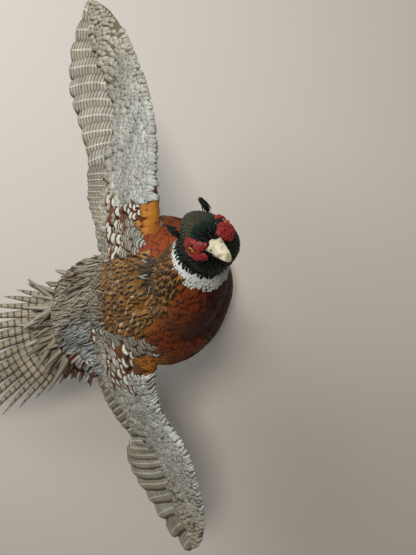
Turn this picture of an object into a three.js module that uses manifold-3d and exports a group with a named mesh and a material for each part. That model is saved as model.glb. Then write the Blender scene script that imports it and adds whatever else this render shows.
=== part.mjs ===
// A cock ring-necked pheasant as a museum mounts it: climbing flight, wings spread, head turned to the viewer,
// held by one rod on a round base. Millimetres, +Z up, origin at the middle of the base's underside.
//
// The bird is modelled in its own frame and then tilted as a whole: x runs forward along the trunk,
// y to the bird's left and z out of its back, with the origin in the middle of the trunk.
import * as THREE from "three";
import { mergeVertices } from "three/addons/utils/BufferGeometryUtils.js";
import Module from "manifold-3d";

const wasm = await Module();
wasm.setup();

// ---------- driving dimensions ----------
const GAP = 0.3; // clearance between neighbouring solids
const TRUNK_HEIGHT = 330; // middle of the trunk above the floor
const CLIMB = 42; // degrees of nose-up pitch
const BANK = 5; // degrees of roll that lifts the left side

const BASE_RADIUS = 115;
const BASE_HEIGHT = 18;
const ROD_RADIUS = 5;
const ROD_IN_BODY = 34; // how far the rod runs up inside the trunk
const FLANGE_RADIUS = 19;
const FLANGE_HEIGHT = 9;

// Trunk sections from the rump to the breast: half width, height of back and belly, and the bend to one side.
const TRUNK = [
  { at: -130, wide: 20, top: 2, low: -13, side: -38 },
  { at: -120, wide: 43, top: 11, low: -27, side: -35 },
  { at: -98, wide: 61, top: 23, low: -43, side: -28 },
  { at: -62, wide: 72, top: 37, low: -59, side: -17 },
  { at: -15, wide: 82, top: 51, low: -71, side: -6 },
  { at: 28, wide: 87, top: 60, low: -74, side: -1 },
  { at: 68, wide: 70, top: 61, low: -62, side: 2 },
  { at: 94, wide: 47, top: 55, low: -40, side: 6 },
  { at: 109, wide: 31, top: 44, low: -16, side: 8 },
  { at: 116, wide: 13, top: 31, low: 8, side: 9 },
];
const TRUNK_RINGS = 15;
const TRUNK_SIDES = 20;

// The neck's centre line from inside the trunk to inside the head, with its radius across and through.
const NECK_LINE = [
  [70, 2, 20],
  [100, 12, 38],
  [124, 26, 52],
  [142, 38, 63],
  [156, 47, 74],
];
const NECK_ACROSS = [50, 42, 34, 27, 20];
const NECK_THROUGH = [38, 37, 32, 26, 20];
const NECK_RINGS = 8;
const NECK_SIDES = 14;

// The head looks up and to the bird's right, with its crown turned to the left wing.
const HEAD_AT = [161, 51, 80];
const HEAD_LIFT = 64; // degrees that the bill points above the floor
const HEAD_TURN = -50; // degrees round from the tail-to-breast line, to the bird's right
const HEAD = [
  { at: -30, wide: 6, top: 5, low: -8 },
  { at: -25, wide: 14, top: 12, low: -20 },
  { at: -11, wide: 20.4, top: 19.5, low: -30 },
  { at: 3, wide: 20.8, top: 20, low: -31 },
  { at: 14, wide: 17.5, top: 15.5, low: -23 },
  { at: 22, wide: 11.5, top: 9.5, low: -14 },
  { at: 27, wide: 6.5, top: 4.5, low: -8 },
];
const HEAD_PINCH = 0.25; // how much the crown is narrower than the cheeks
const HEAD_RINGS = 10;
const HEAD_SIDES = 16;
const EYE_RADIUS = 5.4;
const EYE_AT = [9, 12.4, 5]; // forward, out and up from the middle of the head
const BILL_BASE = 20; // where the bill leaves the head
const BILL_LENGTH = 29;
const BILL_WIDTH = 14.5;
const BILL_HOOK = 9; // how far the upper tip bends down
const TUFT_AT = [-12, 15, 12];
const WATTLE = { long: 15, wide: 10, high: 12, proud: 1.4 };
const WATTLE_AT = [11, 15, 0];
const TUFT_LENGTH = 9.5;
const TUFT_RADIUS = 3.4;

// Each wing lies in its own plane, hinged at the shoulder and drooping outwards. `front` and `rear` are its
// edges in that plane from the body to the tip: distance out from the shoulder, and forward of mid-trunk.
const SHOULDER = { out: 55, up: 30 };
const WING_ROOT_INSIDE = 26; // how far the wing's root reaches in towards the spine
const WINGS = {
  left: {
    side: 1,
    droop: 6,
    front: [[-20, 60], [30, 56], [62, 52], [105, 49], [150, 37], [205, 10], [258, -23], [294, -58], [309, -82]],
    rear: [[-20, -50], [28, -74], [58, -90], [92, -92], [126, -98], [166, -119], [210, -141], [256, -136], [290, -114]],
    wrist: 0.36,
  },
  right: {
    side: -1,
    droop: 16,
    front: [[-20, 58], [18, 34], [50, 17], [92, 18], [132, 37], [180, 38], [238, 30], [284, 13], [322, -22]],
    rear: [[-20, -62], [38, -108], [92, -124], [128, -110], [160, -88], [196, -116], [232, -124], [278, -92], [334, -64]],
    wrist: 0.45,
  },
};
const PRIMARIES = 10;
const ARM_FEATHERS = 13; // secondaries and tertials
const PRIMARY_NOTCH = 9; // depth of the gaps between feather tips
const ARM_NOTCH = 4;
const ROOT_THICK = 34;
const WRIST_THICK = 13;
const TIP_THICK = 1.5;
const VANE_THICK = 1.2;
const CAMBER = 0.05; // sag of the rear edge as a share of the chord

// Tail: nine pairs of feathers from one root, the middle pair longest and on top.
const TAIL_AT = [-100, -32, 4];
const TAIL_RISE = 15; // degrees above the trunk's line
const TAIL_SKEW = 18; // degrees towards the bird's right
const TAIL_LENGTHS = [475, 446, 400, 348, 298, 250, 208, 176, 150];
const TAIL_SPREAD = { left: 4, right: 3.3 }; // degrees between neighbouring feathers
const TAIL_BEND = 9; // degrees that each feather curves to the right along its length
const TAIL_HALF_WIDTH = 13.5;
const COVERTS = { length: 92, wide: 79, deep: 13, shift: -5 }; // the cushion of short feathers over the tail's root

// Legs trail under the belly with the toes half closed.
const THIGH_AT = [-26, 34, -48];
const THIGH_SHIFT = -12; // follows the trunk's bend
const THIGH_LENGTH = 66;
const THIGH_RADIUS = 22;
const TARSUS_LENGTH = 70;
const TARSUS_RADIUS = 3.9;
const TOE_LENGTHS = [38, 50, 40];
const TOE_RADIUS = 2.9;
const HIND_TOE = 19;
const SPUR_LENGTH = 13;

// ---------- small maths ----------
const vec = (x, y, z) => new THREE.Vector3(x, y, z);
const rad = THREE.MathUtils.degToRad;
const mix = THREE.MathUtils.lerp;
const ease = (t) => t * t * (3 - 2 * t);

// Smooth value of one field of a station table at position x.
function along(stations, field, x) {
  const last = stations.length - 1;
  const i = Math.max(0, Math.min(last - 1, stations.findIndex((s) => s.at > x) - 1));
  const k = x >= stations[last].at ? last - 1 : i;
  const slope = (j) => {
    const a = stations[Math.max(0, j - 1)];
    const b = stations[Math.min(last, j + 1)];
    return (b[field] - a[field]) / (b.at - a.at);
  };
  const span = stations[k + 1].at - stations[k].at;
  const t = (x - stations[k].at) / span;
  const h = ease(t);
  const start = t * (1 - t) * (1 - t) * span * slope(k);
  const end = t * t * (t - 1) * span * slope(k + 1);
  return mix(stations[k][field], stations[k + 1][field], h) + start + end;
}

// Smooth value of a plain list, t from 0 to 1.
function listAt(list, t) {
  const stations = list.map((value, i) => ({ at: i / (list.length - 1), value }));
  return along(stations, "value", t);
}

// ---------- solids ----------
// One closed shell through rings of equal count, with a fan over each end.
function shell(rings) {
  const sides = rings[0].length;
  const points = rings.flat();
  const middle = (ring) => ring.reduce((sum, p) => sum.add(p), vec(0, 0, 0)).divideScalar(sides);
  const first = points.push(middle(rings[0])) - 1;
  const last = points.push(middle(rings[rings.length - 1])) - 1;
  const faces = [];
  for (let r = 0; r < rings.length - 1; r++) {
    for (let i = 0; i < sides; i++) {
      const j = (i + 1) % sides;
      const [a, b, c, d] = [r * sides + i, r * sides + j, (r + 1) * sides + j, (r + 1) * sides + i];
      faces.push(a, b, c, a, c, d);
    }
  }
  const end = (rings.length - 1) * sides;
  for (let i = 0; i < sides; i++) {
    const j = (i + 1) % sides;
    faces.push(first, j, i, last, end + i, end + j);
  }
  return solidFrom(points, faces);
}

// A manifold solid from points and faces, turned outwards if it came out inside out.
function solidFrom(points, faces) {
  const geometry = new THREE.BufferGeometry().setFromPoints(points);
  geometry.setIndex(faces);
  const made = solidOf(geometry);
  if (made.volume() > 0) return made;
  return solidFrom(points, faces.slice().reverse());
}

function solidOf(geometry) {
  const plain = geometry.clone();
  plain.deleteAttribute("normal");
  plain.deleteAttribute("uv");
  const merged = mergeVertices(plain, 1e-4);
  return new wasm.Manifold(
    new wasm.Mesh({
      numProp: 3,
      vertProperties: new Float32Array(merged.attributes.position.array),
      triVerts: new Uint32Array(merged.index.array),
    }),
  );
}

// The largest piece that a cut leaves.
function largest(made) {
  return made.decompose().reduce((a, b) => (a.volume() > b.volume() ? a : b));
}

function join(solids) {
  return solids.reduce((a, b) => a.add(b));
}

function meshOf(name, made, material) {
  const mesh = made.getMesh();
  const geometry = new THREE.BufferGeometry();
  const positions = new Float32Array(mesh.vertProperties);
  geometry.setAttribute("position", new THREE.BufferAttribute(positions, 3));
  geometry.setIndex(new THREE.BufferAttribute(new Uint32Array(mesh.triVerts), 1));
  geometry.computeVertexNormals();
  const made3 = new THREE.Mesh(geometry, material);
  made3.name = name;
  return made3;
}

// A body of oval sections: each station gives half width, top and bottom. `pinch` narrows the upper half.
function ovalBody(stations, rings, sides, place, grow = 0, pinch = 0) {
  const from = stations[0].at;
  const to = stations[stations.length - 1].at;
  const made = [];
  for (let r = 0; r < rings; r++) {
    const share = (1 - Math.cos((Math.PI * r) / (rings - 1))) / 2;
    const inside = mix(from, to, share);
    const x = mix(from - grow, to + grow, share);
    const wide = along(stations, "wide", inside) + grow;
    const top = along(stations, "top", inside) + grow;
    const low = along(stations, "low", inside) - grow;
    const side = "side" in stations[0] ? along(stations, "side", inside) : 0;
    const ring = [];
    for (let i = 0; i < sides; i++) {
      const turn = (2 * Math.PI * i) / sides;
      const z = (top + low) / 2 + (Math.sin(turn) * (top - low)) / 2;
      ring.push(place(vec(x, side + wide * Math.cos(turn) * (1 - pinch * Math.sin(turn)), z)));
    }
    made.push(ring);
  }
  return shell(made);
}

// A tapering tube along a curve. radii are lists of radius across and through the tube.
function tube(curve, across, through, rings, sides, sideways) {
  const made = [];
  for (let r = 0; r < rings; r++) {
    const t = r / (rings - 1);
    const centre = curve.getPoint(t);
    const tangent = curve.getTangent(t);
    const out = sideways.clone().addScaledVector(tangent, -sideways.dot(tangent)).normalize();
    const up = tangent.clone().cross(out);
    const a = listAt(across, t);
    const b = listAt(through, t);
    const ring = [];
    for (let i = 0; i < sides; i++) {
      const turn = (2 * Math.PI * i) / sides;
      ring.push(centre.clone().addScaledVector(out, a * Math.cos(turn)).addScaledVector(up, b * Math.sin(turn)));
    }
    made.push(ring);
  }
  return shell(made);
}

function curveThrough(points) {
  return new THREE.CatmullRomCurve3(points.map((p) => (p.isVector3 ? p : vec(...p))));
}

// ---------- the bird's place ----------
const bird = new THREE.Group();
const forward = vec(Math.cos(rad(CLIMB)), 0, Math.sin(rad(CLIMB)));
const level = vec(0, 1, 0);
const dorsal = forward.clone().cross(level);
const left = level.clone().multiplyScalar(Math.cos(rad(BANK))).addScaledVector(dorsal, Math.sin(rad(BANK)));
const back = forward.clone().cross(left);
const toRow = new THREE.Matrix4().makeBasis(forward, left, back).setPosition(0, 0, TRUNK_HEIGHT);
toRow.decompose(bird.position, bird.quaternion, bird.scale);
const toBird = toRow.clone().invert();

// ---------- trunk and neck ----------
const trunkWhole = (grow) => ovalBody(TRUNK, TRUNK_RINGS, TRUNK_SIDES, (p) => p, grow);

function neckWhole(grow) {
  const wider = (list) => list.map((r) => r + grow);
  const line = curveThrough(NECK_LINE);
  return tube(line, wider(NECK_ACROSS), wider(NECK_THROUGH), NECK_RINGS, NECK_SIDES, vec(0, 1, 0));
}

// ---------- head ----------
function headFrame() {
  const lift = rad(HEAD_LIFT);
  const turn = rad(HEAD_TURN);
  const look = vec(Math.cos(turn) * Math.cos(lift), Math.sin(turn) * Math.cos(lift), Math.sin(lift));
  const ear = vec(-Math.sin(turn), Math.cos(turn), 0);
  const crown = look.clone().cross(ear);
  const inRow = new THREE.Matrix4().makeBasis(look, ear, crown);
  const turned = new THREE.Matrix4().extractRotation(toBird).multiply(inRow);
  return turned.setPosition(...HEAD_AT);
}
const headMatrix = headFrame();
const onHead = (p) => p.applyMatrix4(headMatrix);
const headWhole = (grow) => ovalBody(HEAD, HEAD_RINGS, HEAD_SIDES, onHead, grow, HEAD_PINCH);

function eye(side, grow) {
  const ball = new THREE.SphereGeometry(EYE_RADIUS + grow, 12, 7);
  const [f, out, up] = EYE_AT;
  ball.applyMatrix4(headMatrix.clone().multiply(new THREE.Matrix4().makeTranslation(f, side * out, up)));
  return solidOf(ball);
}

// Half of the bill: the upper arches down to a hook, the lower is a shallow trough that fits under it.
function billHalf(upper) {
  const rings = [];
  const steps = 8;
  const sides = 10;
  for (let r = 0; r < steps; r++) {
    const t = r / (steps - 1);
    const reach = upper ? BILL_LENGTH : BILL_LENGTH * 0.86;
    const x = BILL_BASE + reach * t;
    const taper = Math.sqrt(Math.max(0, 1 - Math.pow(t, 2.2)));
    const half = Math.max(0.5, (BILL_WIDTH / 2) * taper * (upper ? 1 : 0.9));
    const drop = -BILL_HOOK * Math.pow(t, 2.4);
    const seam = -2.2 - 3.2 * t * t + (upper ? GAP / 2 : -GAP / 2);
    const culmen = Math.max(seam + 0.8, 4.6 + drop);
    const chin = Math.min(seam - 0.7, -7.4 + 4.2 * t * t);
    const ring = [];
    for (let i = 0; i < sides; i++) {
      const turn = (Math.PI * i) / (sides - 1);
      const high = upper ? culmen : chin;
      const hooked = upper && t > 0.8 ? -1.6 * (t - 0.8) * 5 : 0;
      ring.push(vec(x, half * Math.cos(turn), seam + hooked + (high - seam) * Math.sin(turn)));
    }
    rings.push(ring.map(onHead));
  }
  return shell(rings);
}

function tuft(side) {
  const [f, out, up] = TUFT_AT;
  const tip = vec(f - 8, side * (out + 3), up + TUFT_LENGTH);
  const middle = vec(f - 4.5, side * (out + 1.5), up + TUFT_LENGTH * 0.5);
  const line = curveThrough([vec(f, side * (out - 4), up - 6), middle, tip].map(onHead));
  return tube(line, [TUFT_RADIUS, TUFT_RADIUS * 1.1, 0.7], [2.2, 1.8, 0.6], 5, 8, vec(1, 0, 0));
}

// Bare skin round the eye: a patch of the head's own surface that stands a little proud of it.
function wattle(side) {
  const region = new THREE.SphereGeometry(1, 12, 6).scale(WATTLE.long, WATTLE.wide, WATTLE.high);
  const [f, out, up] = WATTLE_AT;
  region.applyMatrix4(headMatrix.clone().multiply(new THREE.Matrix4().makeTranslation(f, side * out, up)));
  return headWhole(GAP + WATTLE.proud).intersect(solidOf(region));
}

// ---------- wings ----------
// A point of the wing's plane in the bird's frame.
function inWing(pose, [out, ahead]) {
  const far = out * Math.cos(rad(pose.droop));
  return vec(ahead, pose.side * (SHOULDER.out + far), SHOULDER.up - out * Math.sin(rad(pose.droop)));
}

// Places along the rear edge, each with the depth of its notch: one or two for a feather's tip, then the gap.
function rearSteps(pose) {
  const steps = [{ share: 0, notch: 0 }];
  for (let i = 0; i < ARM_FEATHERS; i++) {
    const at = (k) => mix(0.06, pose.wrist, (i + k) / ARM_FEATHERS);
    steps.push({ share: at(0.5), notch: 0 }, { share: at(1), notch: ARM_NOTCH });
  }
  for (let i = 0; i < PRIMARIES; i++) {
    const at = (k) => mix(pose.wrist, 1, (i + k) / PRIMARIES);
    const notch = i < PRIMARIES - 1 ? mix(ARM_NOTCH, PRIMARY_NOTCH, i / PRIMARIES) : 0;
    steps.push({ share: at(0.3), notch: 0 }, { share: at(0.75), notch: 0 }, { share: at(1), notch });
  }
  return steps;
}

const CHORD_STEPS = [0, 0.05, 0.2, 0.5, 1];

// One wing section: over the top from front to rear edge, and back underneath.
function wingRing(front, rear, thick) {
  const chord = front.distanceTo(rear);
  const bulge = (t) => Math.min(1, 2.3 * Math.sqrt(t)) * Math.pow(1 - t, 1.7);
  const at = (t, sign) => {
    const p = front.clone().lerp(rear, t);
    const sag = CAMBER * chord * t * t;
    const share = sign > 0 ? 0.6 : 0.4;
    p.z += sign * (thick * share * bulge(t) + VANE_THICK / 2) - sag;
    return p;
  };
  const upper = CHORD_STEPS.map((t) => at(t, 1));
  const lower = CHORD_STEPS.map((t) => at(t, -1)).reverse();
  return upper.concat(lower);
}

function wingRings(pose) {
  const edge = (points) => curveThrough(points.map((p) => inWing(pose, p)));
  const front = edge(pose.front);
  const rear = edge(pose.rear);
  const steps = rearSteps(pose);
  const rings = steps.map(({ share, notch }) => {
    const lead = front.getPoint(share);
    const trail = rear.getPoint(share);
    const way = trail.clone().sub(lead).normalize();
    const past = Math.max(0, (share - pose.wrist) / (1 - pose.wrist));
    const arm = Math.min(1, share / pose.wrist);
    const thick = past > 0 ? mix(WRIST_THICK, TIP_THICK, Math.sqrt(past)) : mix(ROOT_THICK, WRIST_THICK, arm);
    return wingRing(lead, trail.addScaledVector(way, -notch), thick);
  });
  const inner = rings[0].map((p) => p.clone().add(vec(0, -pose.side * WING_ROOT_INSIDE, 0)));
  return { rings: [inner, ...rings], wristRing: 1 + 2 * ARM_FEATHERS };
}

// The wing in two solids, parted by a thin cut at the wrist.
function wing(pose) {
  const { rings, wristRing } = wingRings(pose);
  const cut = rings[wristRing];
  const shift = (other) => {
    const step = cut[0].distanceTo(other[0]);
    return cut.map((p, i) => p.clone().lerp(other[i], Math.min(0.5, (GAP * 0.9) / step)));
  };
  const arm = shell([...rings.slice(0, wristRing), shift(rings[wristRing - 1])]);
  const hand = shell([shift(rings[wristRing + 1]), ...rings.slice(wristRing + 1)]);
  return { arm, hand };
}

// ---------- tail ----------
function tailFrame() {
  const rise = new THREE.Matrix4().makeRotationY(rad(TAIL_RISE));
  const skew = new THREE.Matrix4().makeRotationZ(rad(TAIL_SKEW));
  return rise.multiply(skew).setPosition(...TAIL_AT);
}

// One feather: narrow at the root, widest past the middle, drawn out to a point and curved to the right.
function tailFeather(pair, side) {
  const spread = side > 0 ? TAIL_SPREAD.left : TAIL_SPREAD.right;
  const start = side * spread * (pair + 0.5);
  const length = TAIL_LENGTHS[pair];
  const steps = [0, 0.2, 0.42, 0.64, 0.84, 0.95, 1];
  const centre = vec(0, 0, -0.55 * pair);
  let before = 0;
  const rings = steps.map((t) => {
    const angle = rad(start - TAIL_BEND * t * (length / TAIL_LENGTHS[0]));
    const way = vec(-Math.cos(angle), Math.sin(angle), -0.07 * t);
    centre.addScaledVector(way, length * (t - before));
    before = t;
    const across = vec(Math.sin(angle), Math.cos(angle), 0);
    const swell = Math.sin(Math.PI * Math.min(0.5, 0.14 + t)) * Math.pow(1 - t, 0.5);
    const half = Math.max(0.6, TAIL_HALF_WIDTH * swell);
    const quill = mix(1.1, 0.5, t);
    return [
      centre.clone().addScaledVector(across, half),
      centre.clone().add(vec(0, 0, quill)),
      centre.clone().addScaledVector(across, -half),
      centre.clone().add(vec(0, 0, -quill)),
    ];
  });
  return shell(rings);
}

function tailCoverts(grow) {
  const cushion = new THREE.SphereGeometry(1, 16, 8);
  cushion.scale(COVERTS.length + grow, COVERTS.wide + grow, COVERTS.deep + grow).translate(0, COVERTS.shift, 0);
  return solidOf(cushion).transform(tailFrame().elements);
}

function tail() {
  const feathers = TAIL_LENGTHS.flatMap((_, pair) => [tailFeather(pair, 1), tailFeather(pair, -1)]);
  return join(feathers).transform(tailFrame().elements).add(tailCoverts(0));
}

// ---------- legs ----------
function thigh(side, grow) {
  const [x, y, z] = THIGH_AT;
  const at = (ahead, out, up) => vec(x + ahead, THIGH_SHIFT + side * (y + out), z + up);
  const knee = at(-THIGH_LENGTH * 0.86, -6, -THIGH_LENGTH * 0.42);
  const line = curveThrough([at(8, 0, 10), at(-18, 2, -9), knee]);
  const radii = [THIGH_RADIUS, THIGH_RADIUS, 6.5].map((r) => r + grow);
  return { solid: tube(line, radii, radii, 8, 14, vec(0, 1, 0)), knee };
}

// Shank, three front toes, hind toe and spur in one solid.
function foot(side) {
  const { knee } = thigh(side, 0);
  const start = knee.clone().add(vec(7, 0, 3.5));
  const heel = knee.clone().add(vec(-TARSUS_LENGTH * 0.94, side * -2, -TARSUS_LENGTH * 0.2));
  const way = heel.clone().sub(knee).normalize();
  const pieces = [];
  const round = [TARSUS_RADIUS, TARSUS_RADIUS * 0.86, TARSUS_RADIUS * 1.15];
  pieces.push(tube(curveThrough([start, start.clone().lerp(heel, 0.5), heel]), round, round, 4, 7, vec(0, 1, 0)));
  TOE_LENGTHS.forEach((length, i) => {
    const splay = (i - 1) * 0.34;
    const ahead = way.clone().add(vec(0, side * splay, 0)).normalize();
    const joint = heel.clone().addScaledVector(ahead, length * 0.5).add(vec(0, 0, -3));
    const tip = heel.clone().addScaledVector(ahead, length * 0.86).add(vec(0, 0, -length * 0.42));
    const line = curveThrough([heel.clone().addScaledVector(way, -2), joint, tip]);
    const radii = [TOE_RADIUS * 1.1, TOE_RADIUS, TOE_RADIUS * 0.8, 0.5];
    pieces.push(tube(line, radii, radii, 5, 6, vec(0, 0.3, 1)));
  });
  const behind = heel.clone().addScaledVector(way, -5);
  const hindTip = behind.clone().add(vec(HIND_TOE * 0.5, side * -4, -HIND_TOE * 0.8));
  const hind = [TOE_RADIUS * 0.9, TOE_RADIUS * 0.7, 0.5];
  const bend = behind.clone().lerp(hindTip, 0.5).add(vec(2, 0, 1.5));
  pieces.push(tube(curveThrough([behind, bend, hindTip]), hind, hind, 4, 6, vec(0, 1, 0.2)));
  const spurRoot = heel.clone().addScaledVector(way, -TARSUS_LENGTH * 0.36);
  const spurTip = spurRoot.clone().add(vec(-3, side * -SPUR_LENGTH * 0.5, -SPUR_LENGTH * 0.85));
  const spurLine = curveThrough([spurRoot, spurRoot.clone().lerp(spurTip, 0.5), spurTip]);
  pieces.push(tube(spurLine, [2.6, 1.9, 0.5], [2.6, 1.9, 0.5], 4, 6, vec(1, 0, 0)));
  return join(pieces);
}

// ---------- stand ----------
function lathe(profile, sides) {
  const points = profile.map(([r, z]) => new THREE.Vector2(r, z));
  const turned = new THREE.LatheGeometry(points, sides);
  turned.rotateX(Math.PI / 2);
  return solidOf(turned);
}

// A round plate with a small step and a softened top edge.
const standBase = lathe(
  [
    [0, 0],
    [BASE_RADIUS - 2, 0],
    [BASE_RADIUS, 2],
    [BASE_RADIUS, 9],
    [BASE_RADIUS - 5, 11],
    [BASE_RADIUS - 8, 15],
    [BASE_RADIUS - 12, BASE_HEIGHT],
    [0, BASE_HEIGHT],
  ],
  36,
);

const FLANGE_FOOT = BASE_HEIGHT + GAP;
const standFlange = lathe(
  [
    [ROD_RADIUS + GAP, FLANGE_FOOT],
    [FLANGE_RADIUS, FLANGE_FOOT],
    [FLANGE_RADIUS, FLANGE_FOOT + 3],
    [FLANGE_RADIUS * 0.5, FLANGE_FOOT + 4.5],
    [FLANGE_RADIUS * 0.42, FLANGE_FOOT + FLANGE_HEIGHT],
    [ROD_RADIUS + GAP, FLANGE_FOOT + FLANGE_HEIGHT],
    [ROD_RADIUS + GAP, FLANGE_FOOT],
  ],
  20,
);

// Height of the belly straight above the middle of the base.
function bellyHeight() {
  const probe = new THREE.CylinderGeometry(1, 1, TRUNK_HEIGHT, 8);
  probe.rotateX(Math.PI / 2).translate(0, 0, TRUNK_HEIGHT / 2);
  const inside = solidOf(probe).intersect(trunkWhole(0).transform(toRow.elements));
  return inside.boundingBox().min[2];
}

const rodTop = bellyHeight() + ROD_IN_BODY;
function rodPiece(radius, top) {
  const foot = BASE_HEIGHT + GAP;
  const rod = new THREE.CylinderGeometry(radius, radius, top - foot, 20);
  rod.rotateX(Math.PI / 2).translate(0, 0, (top + foot) / 2);
  return solidOf(rod);
}

// ---------- colours ----------
function finish(color, roughness, metalness = 0) {
  return new THREE.MeshStandardMaterial({ color, roughness, metalness });
}
const copper = finish(0x6e2a10, 0.55);
const greenBlack = finish(0x14211d, 0.35);
const horn = finish(0xcbbf98, 0.45);
const amber = finish(0xc98a12, 0.1);
const scarlet = finish(0x7d1a1c, 0.5);
const wingGrey = finish(0x9b958a, 0.7);
const vaneBrown = finish(0x7d6d59, 0.7);
const tailBuff = finish(0x8d7d5e, 0.65);
const thighBrown = finish(0x4a2a17, 0.75);
const scaleGrey = finish(0x6b6455, 0.6);
const wood = finish(0x4a2f1d, 0.4);
const brass = finish(0xb08d4a, 0.35, 1);
const steel = finish(0x8f9296, 0.35, 1);

// ---------- assembly ----------
const neckGrown = neckWhole(GAP);
const trunkGrown = trunkWhole(2 * GAP);
const sockets = join([eye(1, GAP), eye(-1, GAP)]);
const headCut = headWhole(0).subtract(neckGrown).subtract(sockets);
const headGrown = headWhole(GAP);
const socketForRod = rodPiece(ROD_RADIUS + GAP, rodTop + GAP).transform(toBird.elements);

const inBird = [
  ["trunk", trunkWhole(0).subtract(socketForRod), copper],
  ["neck", neckWhole(0).subtract(trunkGrown), copper],
  ["head", headCut, greenBlack],
  ["bill_upper", billHalf(true).subtract(headGrown), horn],
  ["bill_lower", billHalf(false).subtract(headGrown), horn],
];
const bodyGrown = trunkGrown.add(neckGrown);
for (const [name, pose] of Object.entries(WINGS)) {
  const { arm, hand } = wing(pose);
  inBird.push([`wing_${name}_arm`, arm.subtract(bodyGrown).subtract(tailCoverts(GAP)), wingGrey]);
  inBird.push([`wing_${name}_hand`, hand, vaneBrown]);
  inBird.push([`eye_${name}`, eye(pose.side, 0), amber]);
  const bareSkin = wattle(pose.side).subtract(headGrown).subtract(eye(pose.side, GAP)).subtract(neckGrown);
  inBird.push([`wattle_${name}`, bareSkin, scarlet]);
  inBird.push([`ear_tuft_${name}`, tuft(pose.side).subtract(headGrown).subtract(neckGrown), greenBlack]);
  inBird.push([`thigh_${name}`, thigh(pose.side, 0).solid.subtract(trunkGrown), thighBrown]);
  inBird.push([`foot_${name}`, foot(pose.side).subtract(thigh(pose.side, GAP).solid), scaleGrey]);
}
inBird.push(["tail", tail().subtract(trunkGrown), tailBuff]);
for (const [name, made, material] of inBird) bird.add(meshOf(name, largest(made), material));

const pheasant = new THREE.Group();
pheasant.add(bird);
pheasant.add(meshOf("stand_base", standBase, wood));
pheasant.add(meshOf("stand_flange", standFlange, brass));
pheasant.add(meshOf("stand_rod", rodPiece(ROD_RADIUS, rodTop), steel));

export default pheasant;
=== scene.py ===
import math
from itertools import product
from typing import NamedTuple

import bmesh
import bpy
import numpy as np
from bpy.props import FloatProperty, FloatVectorProperty, PointerProperty
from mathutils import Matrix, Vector
from mathutils.bvhtree import BVHTree


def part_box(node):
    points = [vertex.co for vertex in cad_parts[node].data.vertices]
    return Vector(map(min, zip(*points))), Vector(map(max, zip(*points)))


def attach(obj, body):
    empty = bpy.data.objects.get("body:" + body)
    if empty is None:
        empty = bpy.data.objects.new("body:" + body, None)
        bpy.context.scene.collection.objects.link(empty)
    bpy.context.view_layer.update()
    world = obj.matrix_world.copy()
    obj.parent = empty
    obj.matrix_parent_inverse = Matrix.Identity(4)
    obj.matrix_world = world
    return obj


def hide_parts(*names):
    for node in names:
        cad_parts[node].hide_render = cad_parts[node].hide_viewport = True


bl_info = {
    "name": "Mounted Cock Pheasant",
    "version": (1, 0, 0),
    "blender": (4, 5, 0),
    "location": "View3D > Sidebar > Pheasant",
    "description": "Builds a life-size mounted ring-necked pheasant in flight, feather by feather",
    "category": "Object",
}

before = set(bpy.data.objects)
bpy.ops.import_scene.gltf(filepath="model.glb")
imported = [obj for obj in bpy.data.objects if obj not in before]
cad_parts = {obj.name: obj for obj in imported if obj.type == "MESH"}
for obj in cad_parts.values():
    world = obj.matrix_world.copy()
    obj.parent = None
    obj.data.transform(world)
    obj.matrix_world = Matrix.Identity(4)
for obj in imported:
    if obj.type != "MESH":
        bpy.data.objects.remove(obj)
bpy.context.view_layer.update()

# Lengths are millimetres in the bird's own frame unless a name says otherwise: x forward along the trunk,
# y to the bird's left, z out of its back. One function turns them to the row's metres.
MM = 0.001
TRUNK_HEIGHT = 330.0
CLIMB = 42.0
BANK = 5.0
SEED = 20
# Each side by the sign of its y.
SIDES = {1: "left", -1: "right"}
LEFT = np.array((0.0, 1.0, 0.0))

# ---------- the bird's forms, as the solids have them ----------
# Columns: at, half width, top, bottom, bend to the left.
TRUNK = np.array([
    (-130, 20, 2, -13, -38), (-120, 43, 11, -27, -35), (-98, 61, 23, -43, -28), (-62, 72, 37, -59, -17),
    (-15, 82, 51, -71, -6), (28, 87, 60, -74, -1), (68, 70, 61, -62, 2), (94, 47, 55, -40, 6),
    (109, 31, 44, -16, 8), (116, 13, 31, 8, 9),
], float)
NECK_LINE = np.array([(70, 2, 20), (100, 12, 38), (124, 26, 52), (142, 38, 63), (156, 47, 74)], float)
NECK_ACROSS = (50, 42, 34, 27, 20)
NECK_THROUGH = (38, 37, 32, 26, 20)

HEAD_AT = np.array((161.0, 51.0, 80.0))
HEAD_LIFT = 64.0
HEAD_TURN = -50.0
# Columns: at, half width, top, bottom.
HEAD = np.array([
    (-30, 6, 5, -8), (-25, 14, 12, -20), (-11, 20.4, 19.5, -30), (3, 20.8, 20, -31),
    (14, 17.5, 15.5, -23), (22, 11.5, 9.5, -14), (27, 6.5, 4.5, -8),
], float)
HEAD_PINCH = 0.25
FACE_END = 25.5
EYE_RADIUS = 5.4

SHOULDER_OUT = 55.0
SHOULDER_UP = 30.0
WINGS = {
    "left": {
        "side": 1, "droop": 6, "wrist": 0.36,
        "front": [(-20, 60), (30, 56), (62, 52), (105, 49), (150, 37), (205, 10), (258, -23), (294, -58),
                  (309, -82)],
        "rear": [(-20, -50), (28, -74), (58, -90), (92, -92), (126, -98), (166, -119), (210, -141),
                 (256, -136), (290, -114)],
    },
    "right": {
        "side": -1, "droop": 16, "wrist": 0.45,
        "front": [(-20, 58), (18, 34), (50, 17), (92, 18), (132, 37), (180, 38), (238, 30), (284, 13),
                  (322, -22)],
        "rear": [(-20, -62), (38, -108), (92, -124), (128, -110), (160, -88), (196, -116), (232, -124),
                 (278, -92), (334, -64)],
    },
}
PRIMARIES = 10
ARM_FEATHERS = 15
ROOT_THICK = 34.0
WRIST_THICK = 13.0
TIP_THICK = 1.5
CAMBER = 0.05
# Share of a wing's thickness above and below its middle.
FACE_SHARES = {1: 0.6, 0: 0.0, -1: 0.4}

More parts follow.
